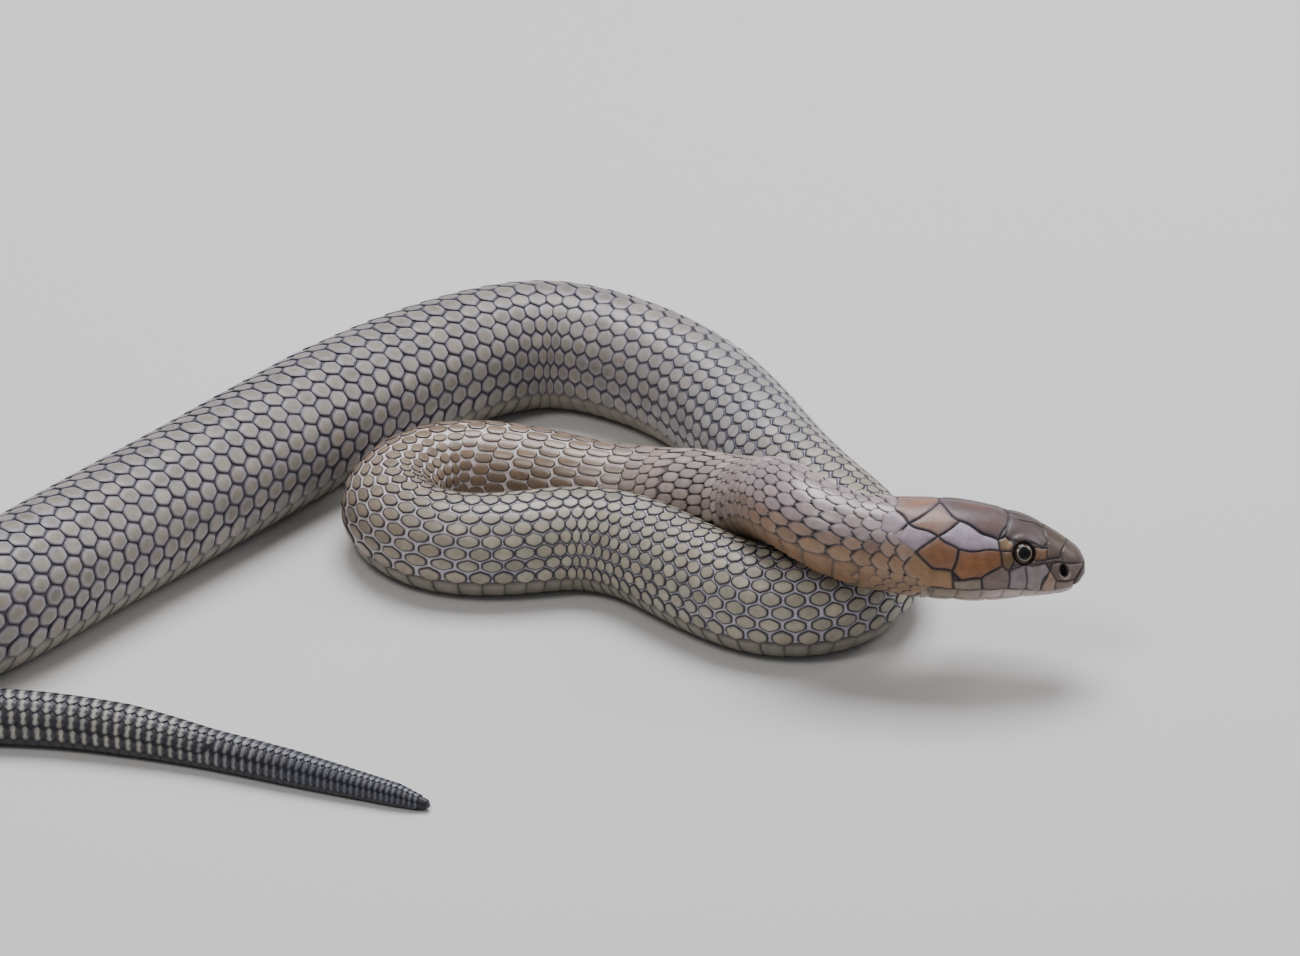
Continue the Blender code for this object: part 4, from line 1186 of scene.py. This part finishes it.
def coat_shape(cells, look, wobble):
    """How far ahead of its scale's middle each point is, the offsets on the skin, and the places."""
    s0, angle0, long0, wide0 = (cells[:, k][:, None] for k in range(4))
    step = skin_place(s0 + STRETCH_STEP, angle0) - skin_place(s0 - STRETCH_STEP, angle0)
    stretch = np.linalg.norm(step, axis=-1) / (2.0 * STRETCH_STEP)
    long_share = read_table(look, s0, LONG) / np.maximum(stretch, 1.0) ** STRETCH_POWER
    ahead, across = (SIZE * scale_outline(s0) * way for way in (np.cos(TURNS), np.sin(TURNS)))
    along = ahead * (long0 * long_share * (1.0 + SIZE_WOBBLE * wobble[:, :1]))
    around = across * (wide0 * read_table(look, s0, WIDE) * (1.0 + SIZE_WOBBLE * wobble[:, 1:2]))
    span = np.minimum(long0, wide0 * body_radius(s0) * WIDE_SPAN_SHARE)
    tilt = read_table(look, s0, TILT) * (1.0 + TILT_WOBBLE * wobble[:, 2:3])
    lift = span * DOME_SHARE * DOME + tilt * ahead - SINK - UNDER * THICK
    return ahead, along, around, over_skin(s0 + along, angle0 + around, lift)


probe_cell = np.array([[TRUNK_PROBE, 0.0, ring_length(TRUNK_PROBE), row_angles(ROWS)[1][ROWS // 2]]])
probe_scale = coat_shape(probe_cell, COAT_LOOK, np.zeros((1, WOBBLES)))[3]
print("a scale on the back of the trunk spans", np.round(np.ptp(probe_scale, axis=0), 1), "mm")

# %% [markdown]
# ### The colours of a coat
#
# The face of a scale has the zone's tone, round it lies a painted pale highlight, strongest at its front edge,
# where the rounded edge would catch the light, and its rim is dark. On the tail that band is a dark margin
# instead, and the rim widens at both ends of a scale, so that the dark joins up into bars. Low on the neck the
# tone turns to bronze. Seeded differences set each scale a little apart from its neighbours.

# %% Colours of a coat
THROAT_BRONZE, LOW_GIRTH, LOW_RUN = (0.24, 0.135, 0.07), (68.0, 100.0), (100.0, 170.0)
TONE_WOBBLE, WARMTH_WOBBLE, WARMTH = 0.10, 0.02, np.array([1.0, 0.0, -1.0])
BAR_SIDE, BAR_END, BAR_RUN = 0.80, 1.7, (VENT - 40.0, VENT + 60.0)
RIM_EDGE, RIM_STRENGTH = (-0.08, 0.06), 0.93
GLINT_MARGIN_EDGE, GLINT_MARGIN_SLANT = (-0.5, -0.12), 0.4


def coat_tint(cells, look, wobble, ahead):
    """The tint of every point: face, painted pale edge highlight (a dark margin on the tail) and dark rim."""
    s0 = cells[:, 0]
    low = ease(np.degrees(np.abs(cells[:, 1])), *LOW_GIRTH) * (1.0 - ease(s0, *LOW_RUN))
    tone = mix(tone_at(SCALE_TONES, s0), THROAT_BRONZE, low)
    tone = tone * (1.0 + TONE_WOBBLE * wobble[:, 3:4]) * (1.0 + WARMTH_WOBBLE * wobble[:, 4:5] * WARMTH)
    barred = np.maximum(BAR_SIDE * SIZE, BAR_END * np.abs(ahead))
    from_heart = SIZE + (barred - SIZE) * ease(s0, *BAR_RUN)[:, None]
    past_rim = from_heart - read_table(look, s0, RIM_START)[:, None]
    # The band inside the rim is a painted highlight on the body, stronger at the front edge, and a dark margin
    # of the tail's own pattern where its tone is dark.
    glint_margin = read_table(look, s0, GLINT_MARGIN)[:, None] * ease(past_rim, *GLINT_MARGIN_EDGE)
    glint_margin = glint_margin * (1.0 + GLINT_MARGIN_SLANT * np.clip(-ahead, -1.0, 1.0))
    face = mix(tone[:, None, :], tone_at(GLINT_AND_MARGIN_TONES, s0)[:, None, :], glint_margin)
    shade = ease(past_rim, *RIM_EDGE) * RIM_STRENGTH
    return mix(face, tone_at(RIM_TONES, s0)[:, None, :], shade).reshape(-1, 3)


print("the tail's bars are full from", round(BAR_RUN[1]), "mm")

# %% [markdown]
# ### Laying the coat
#
# The coat is laid in lengths, because one mesh of it all would be too heavy to bake. The first scales begin
# behind the head plates, along a line that PLATE_REAR gives by degrees from the crown. Each length also gets a
# flat map for baking, an unwrap of the skin with one patch to a scale.

# %% Coat pieces
COAT_PIECES = {"nape": (56, 125), "neck": (125, 300), "limb": (300, 660), "rise": (660, 900),
               "arc": (900, 1180), "bend": (1180, 1460), "loop": (1460, 1730), "hip": (1730, VENT)}
NECK_END = 300
TAIL_SHIFT = 0.2
TAIL_PIECES = {"tail_base": (VENT, VENT + 130, 11), "tail_middle": (VENT + 130, VENT + 260, 9),
               "tail_end": (VENT + 260, VENT + 385, 7), "tail_tip": (VENT + 385, TOTAL - 3, 5)}
PLATE_REAR = [(0, 68.5), (28, 69.5), (38, 74.5), (62, 74.5), (66, 69.5), (78, 68.5), (86, 61.5), (97, 61.5),
              (105, 63.5), (125, 59.0), (150, 57.5), (180, 57.0)]
PATCH_SHARE, PATCH_MARGIN = 0.85, 15.0
rng = np.random.default_rng(7)


def patch_map(s, angle, start, end):
    """Flat places of a coat piece for baking: distance one way and girth the other."""
    along = (s - start + PATCH_MARGIN) / (end - start + 2.0 * PATCH_MARGIN)
    return np.stack([along, 0.5 + angle / (2.0 * math.pi)], axis=-1).reshape(-1, 2)


def coat_piece(name, cells, look, start, end, slot):
    """One joined mesh of scales, laid at the cells."""
    wobble = rng.normal(size=(len(cells), WOBBLES))
    ahead, along, around, points = coat_shape(cells, look, wobble)
    tint = coat_tint(cells, look, wobble, ahead)
    faces = [[k * len(SIZE) + corner for corner in face] for k in range(len(cells)) for face in SCALE_FACES]
    uv = patch_map(cells[:, :1] + along * PATCH_SHARE, cells[:, 1:2] + around * PATCH_SHARE, start, end)
    piece = tinted_mesh(name, points, faces, tint, neck_skin if slot == "neck_skin" else trunk_skin, uv)


coat_cells = lattice(COAT_PIECES["nape"][0], VENT, ROWS, SHIFT)
coat_cells = coat_cells[coat_cells[:, 0] > read_table(PLATE_REAR, np.degrees(np.abs(coat_cells[:, 1])))]
for label, (start, end) in COAT_PIECES.items():
    chosen = coat_cells[(coat_cells[:, 0] >= start) & (coat_cells[:, 0] < end)]
    slot = "neck_skin" if end <= NECK_END else "trunk_skin"
    coat_piece(f"scales_{label}", chosen, COAT_LOOK, start, end, slot)
for label, (start, end, rows) in TAIL_PIECES.items():
    cells = lattice(start, end, rows, [(0, TAIL_SHIFT)])
    coat_piece(f"scales_{label}", cells, TAIL_LOOK, start, end, "tail_skin")

# %% [markdown]
# ### Throat scales
#
# Between the chin shields and the first belly plate lie small scales. They could continue the rows of the
# coat, but those end at the belly's edge, so they are the same template in a lattice of their own, centred
# under the throat.

# %% Throat
THROAT_START, THROAT_END, THROAT_LAST = 58.0, 86.0, 84.0
THROAT_ROWS, THROAT_RINGS, THROAT_RING = 9, 6, 5.0
THROAT_OFFSET = 0.3
THROAT_LOOK = [(0, 0.66, 0.64, 0.90, 0.25, 0.1)]
throat_width = math.radians(360.0 - 2.0 * COAT_HALF_DEG) / THROAT_ROWS
throat_cells = [[THROAT_START + (ring + (row % 2) * 0.5 + THROAT_OFFSET) * THROAT_RING,
                 math.pi + (row - THROAT_ROWS // 2) * throat_width, THROAT_RING, throat_width]
                for row in range(THROAT_ROWS) for ring in range(THROAT_RINGS)]
throat_cells = np.array([cell for cell in throat_cells if cell[0] < THROAT_LAST])
coat_piece("scales_throat", throat_cells, THROAT_LOOK, THROAT_START, THROAT_END, "neck_skin")

# %% [markdown]
# ## Belly plates
#
# Under a snake lies one row of wide plates, one to each ring. Their ends show along the lower edge of the
# body. Each could be a bent box, but a thin shell is enough, as its underside is never seen: a grid of points
# raised at its back edge over the next plate, and flat where it meets the ground.

# %% Belly
BELLY_ACROSS = 20
BELLY_AHEAD = (-0.5, -0.3, 0.1, 0.45, 0.56, 0.6)
BELLY_RISE = (-0.15, 0.03, 0.18, 0.32, 0.28, -0.1)
BELLY_RIM = (0.6, 0.2, 0.0, 0.15, 0.8, 1.0)
BELLY_RISE_RING, BELLY_UNDER = 8.0, 0.35
BELLY_OVERLAP_DEG, BELLY_EDGE = 2.5, (0.93, 1.0)
BELLY_START, BELLY_MIDDLE, BELLY_STOP = 79.0, 1000.0, TOTAL - 4.0
BELLY_TONE, BELLY_DARK, BELLY_DARK_RUN = (0.28, 0.255, 0.21), (0.07, 0.065, 0.07), (VENT - 60.0, VENT + 20.0)
BELLY_BRONZE_RUN, BELLY_RIM_STRENGTH = (100.0, 200.0), 0.85


def belly_piece(name, start, end):
    """One joined mesh of belly plates between two distances."""
    rings = np.arange(math.ceil(rings_at(start)), rings_at(end))
    s0 = np.interp(rings, ring_count, fine_s)[:, None, None]
    long0 = ring_length(s0)
    ahead, rise, rim = (np.array(row)[None, :, None] for row in (BELLY_AHEAD, BELLY_RISE, BELLY_RIM))
    reach = np.linspace(-1.0, 1.0, BELLY_ACROSS + 1)[None, None, :]
    within = 1.0 - ease(np.abs(reach), *BELLY_EDGE)
    off_middle = reach * (math.pi - math.radians(COAT_HALF_DEG - BELLY_OVERLAP_DEG))
    lift = rise * long0 / BELLY_RISE_RING * within - BELLY_UNDER * (1.0 - within)
    s, off_middle, lift, shade = np.broadcast_arrays(s0 + long0 * ahead, off_middle, lift,
                                                     np.maximum(rim, 1.0 - within) * BELLY_RIM_STRENGTH)
    tone = mix(THROAT_BRONZE, mix(BELLY_TONE, BELLY_DARK, ease(s, *BELLY_DARK_RUN)), ease(s, *BELLY_BRONZE_RUN))
    tint = mix(tone, tone_at(RIM_TONES, s), shade).reshape(-1, 3)
    rows, columns = len(BELLY_AHEAD), BELLY_ACROSS + 1
    k, j = np.meshgrid(np.arange(rows - 1), np.arange(columns - 1), indexing="ij")
    corner = (k * columns + j).ravel()
    cell = np.stack([corner, corner + columns, corner + columns + 1, corner + 1], axis=1)
    faces = (cell[None] + (np.arange(len(rings)) * rows * columns)[:, None, None]).reshape(-1, 4).tolist()
    uv = patch_map(s0 + (s - s0) * PATCH_SHARE, off_middle, start, end)
    piece = tinted_mesh(name, over_skin(s, math.pi + off_middle, lift), faces, tint, trunk_skin, uv)


belly_piece("belly_front", BELLY_START, BELLY_MIDDLE)
belly_piece("belly_back", BELLY_MIDDLE, VENT)
belly_piece("belly_tail", VENT, BELLY_STOP)

# %% [markdown]
# ## Floor and light
#
# The stage is a plain pale floor that runs off into a pale world, with a large soft lamp above and behind for
# the glints on the upper edges of the scales, a smaller one in front, and a weak one from the side. An image
# of a sky could light the scene, but three lamps are easier to aim.

# %% Stage
FLOOR_HALF = 30.0
FLOOR_COLOUR, FLOOR_ROUGHNESS = (0.62, 0.61, 0.59, 1.0), 0.8
WORLD_COLOUR, WORLD_STRENGTH = (0.82, 0.86, 0.95, 1.0), 0.3
LAMPS = {"sky_lamp": ((0.25, 0.75, 1.7), (0.15, 0.05, 0.02), 1.1, 46.0, (0.95, 0.95, 1.0)),
         "key_lamp": ((-0.5, -0.9, 1.8), (0.15, 0.05, 0.02), 0.6, 13.0, (1.0, 0.96, 0.91)),
         "side_lamp": ((1.5, 0.5, 0.9), (0.2, 0.05, 0.03), 0.7, 7.0, (1.0, 0.98, 0.95))}
corners = [(x * FLOOR_HALF, y * FLOOR_HALF, 0) for x, y in ((-1, -1), (1, -1), (1, 1), (-1, 1))]
floor_mesh = bpy.data.meshes.new("floor")
floor_mesh.from_pydata(corners, [], [(0, 1, 2, 3)])
floor = bpy.data.objects.new("floor", floor_mesh)
bpy.context.scene.collection.objects.link(floor)
pale_floor = bpy.data.materials.new("pale_floor")
pale_floor.use_nodes = True
set_sockets(pale_floor.node_tree.nodes["Principled BSDF"],
            {"Base Color": FLOOR_COLOUR, "Roughness": FLOOR_ROUGHNESS})
floor_mesh.materials.append(pale_floor)
world = bpy.data.worlds.new("pale_world")
world.use_nodes = True
set_sockets(world.node_tree.nodes["Background"], {"Color": WORLD_COLOUR, "Strength": WORLD_STRENGTH})
bpy.context.scene.world = world


def soft_lamp(name, place, aim, size, power, colour):
    data = bpy.data.lights.new(name, "AREA")
    data.shape = "SQUARE"
    data.size = size
    data.energy = power
    data.color = colour
    lamp = bpy.data.objects.new(name, data)
    lamp.location = place
    lamp.rotation_euler = (Vector(aim) - Vector(place)).to_track_quat("-Z", "Y").to_euler()
    bpy.context.scene.collection.objects.link(lamp)


for name, values in LAMPS.items():
    soft_lamp(name, *values)
print(len(LAMPS), "lamps")
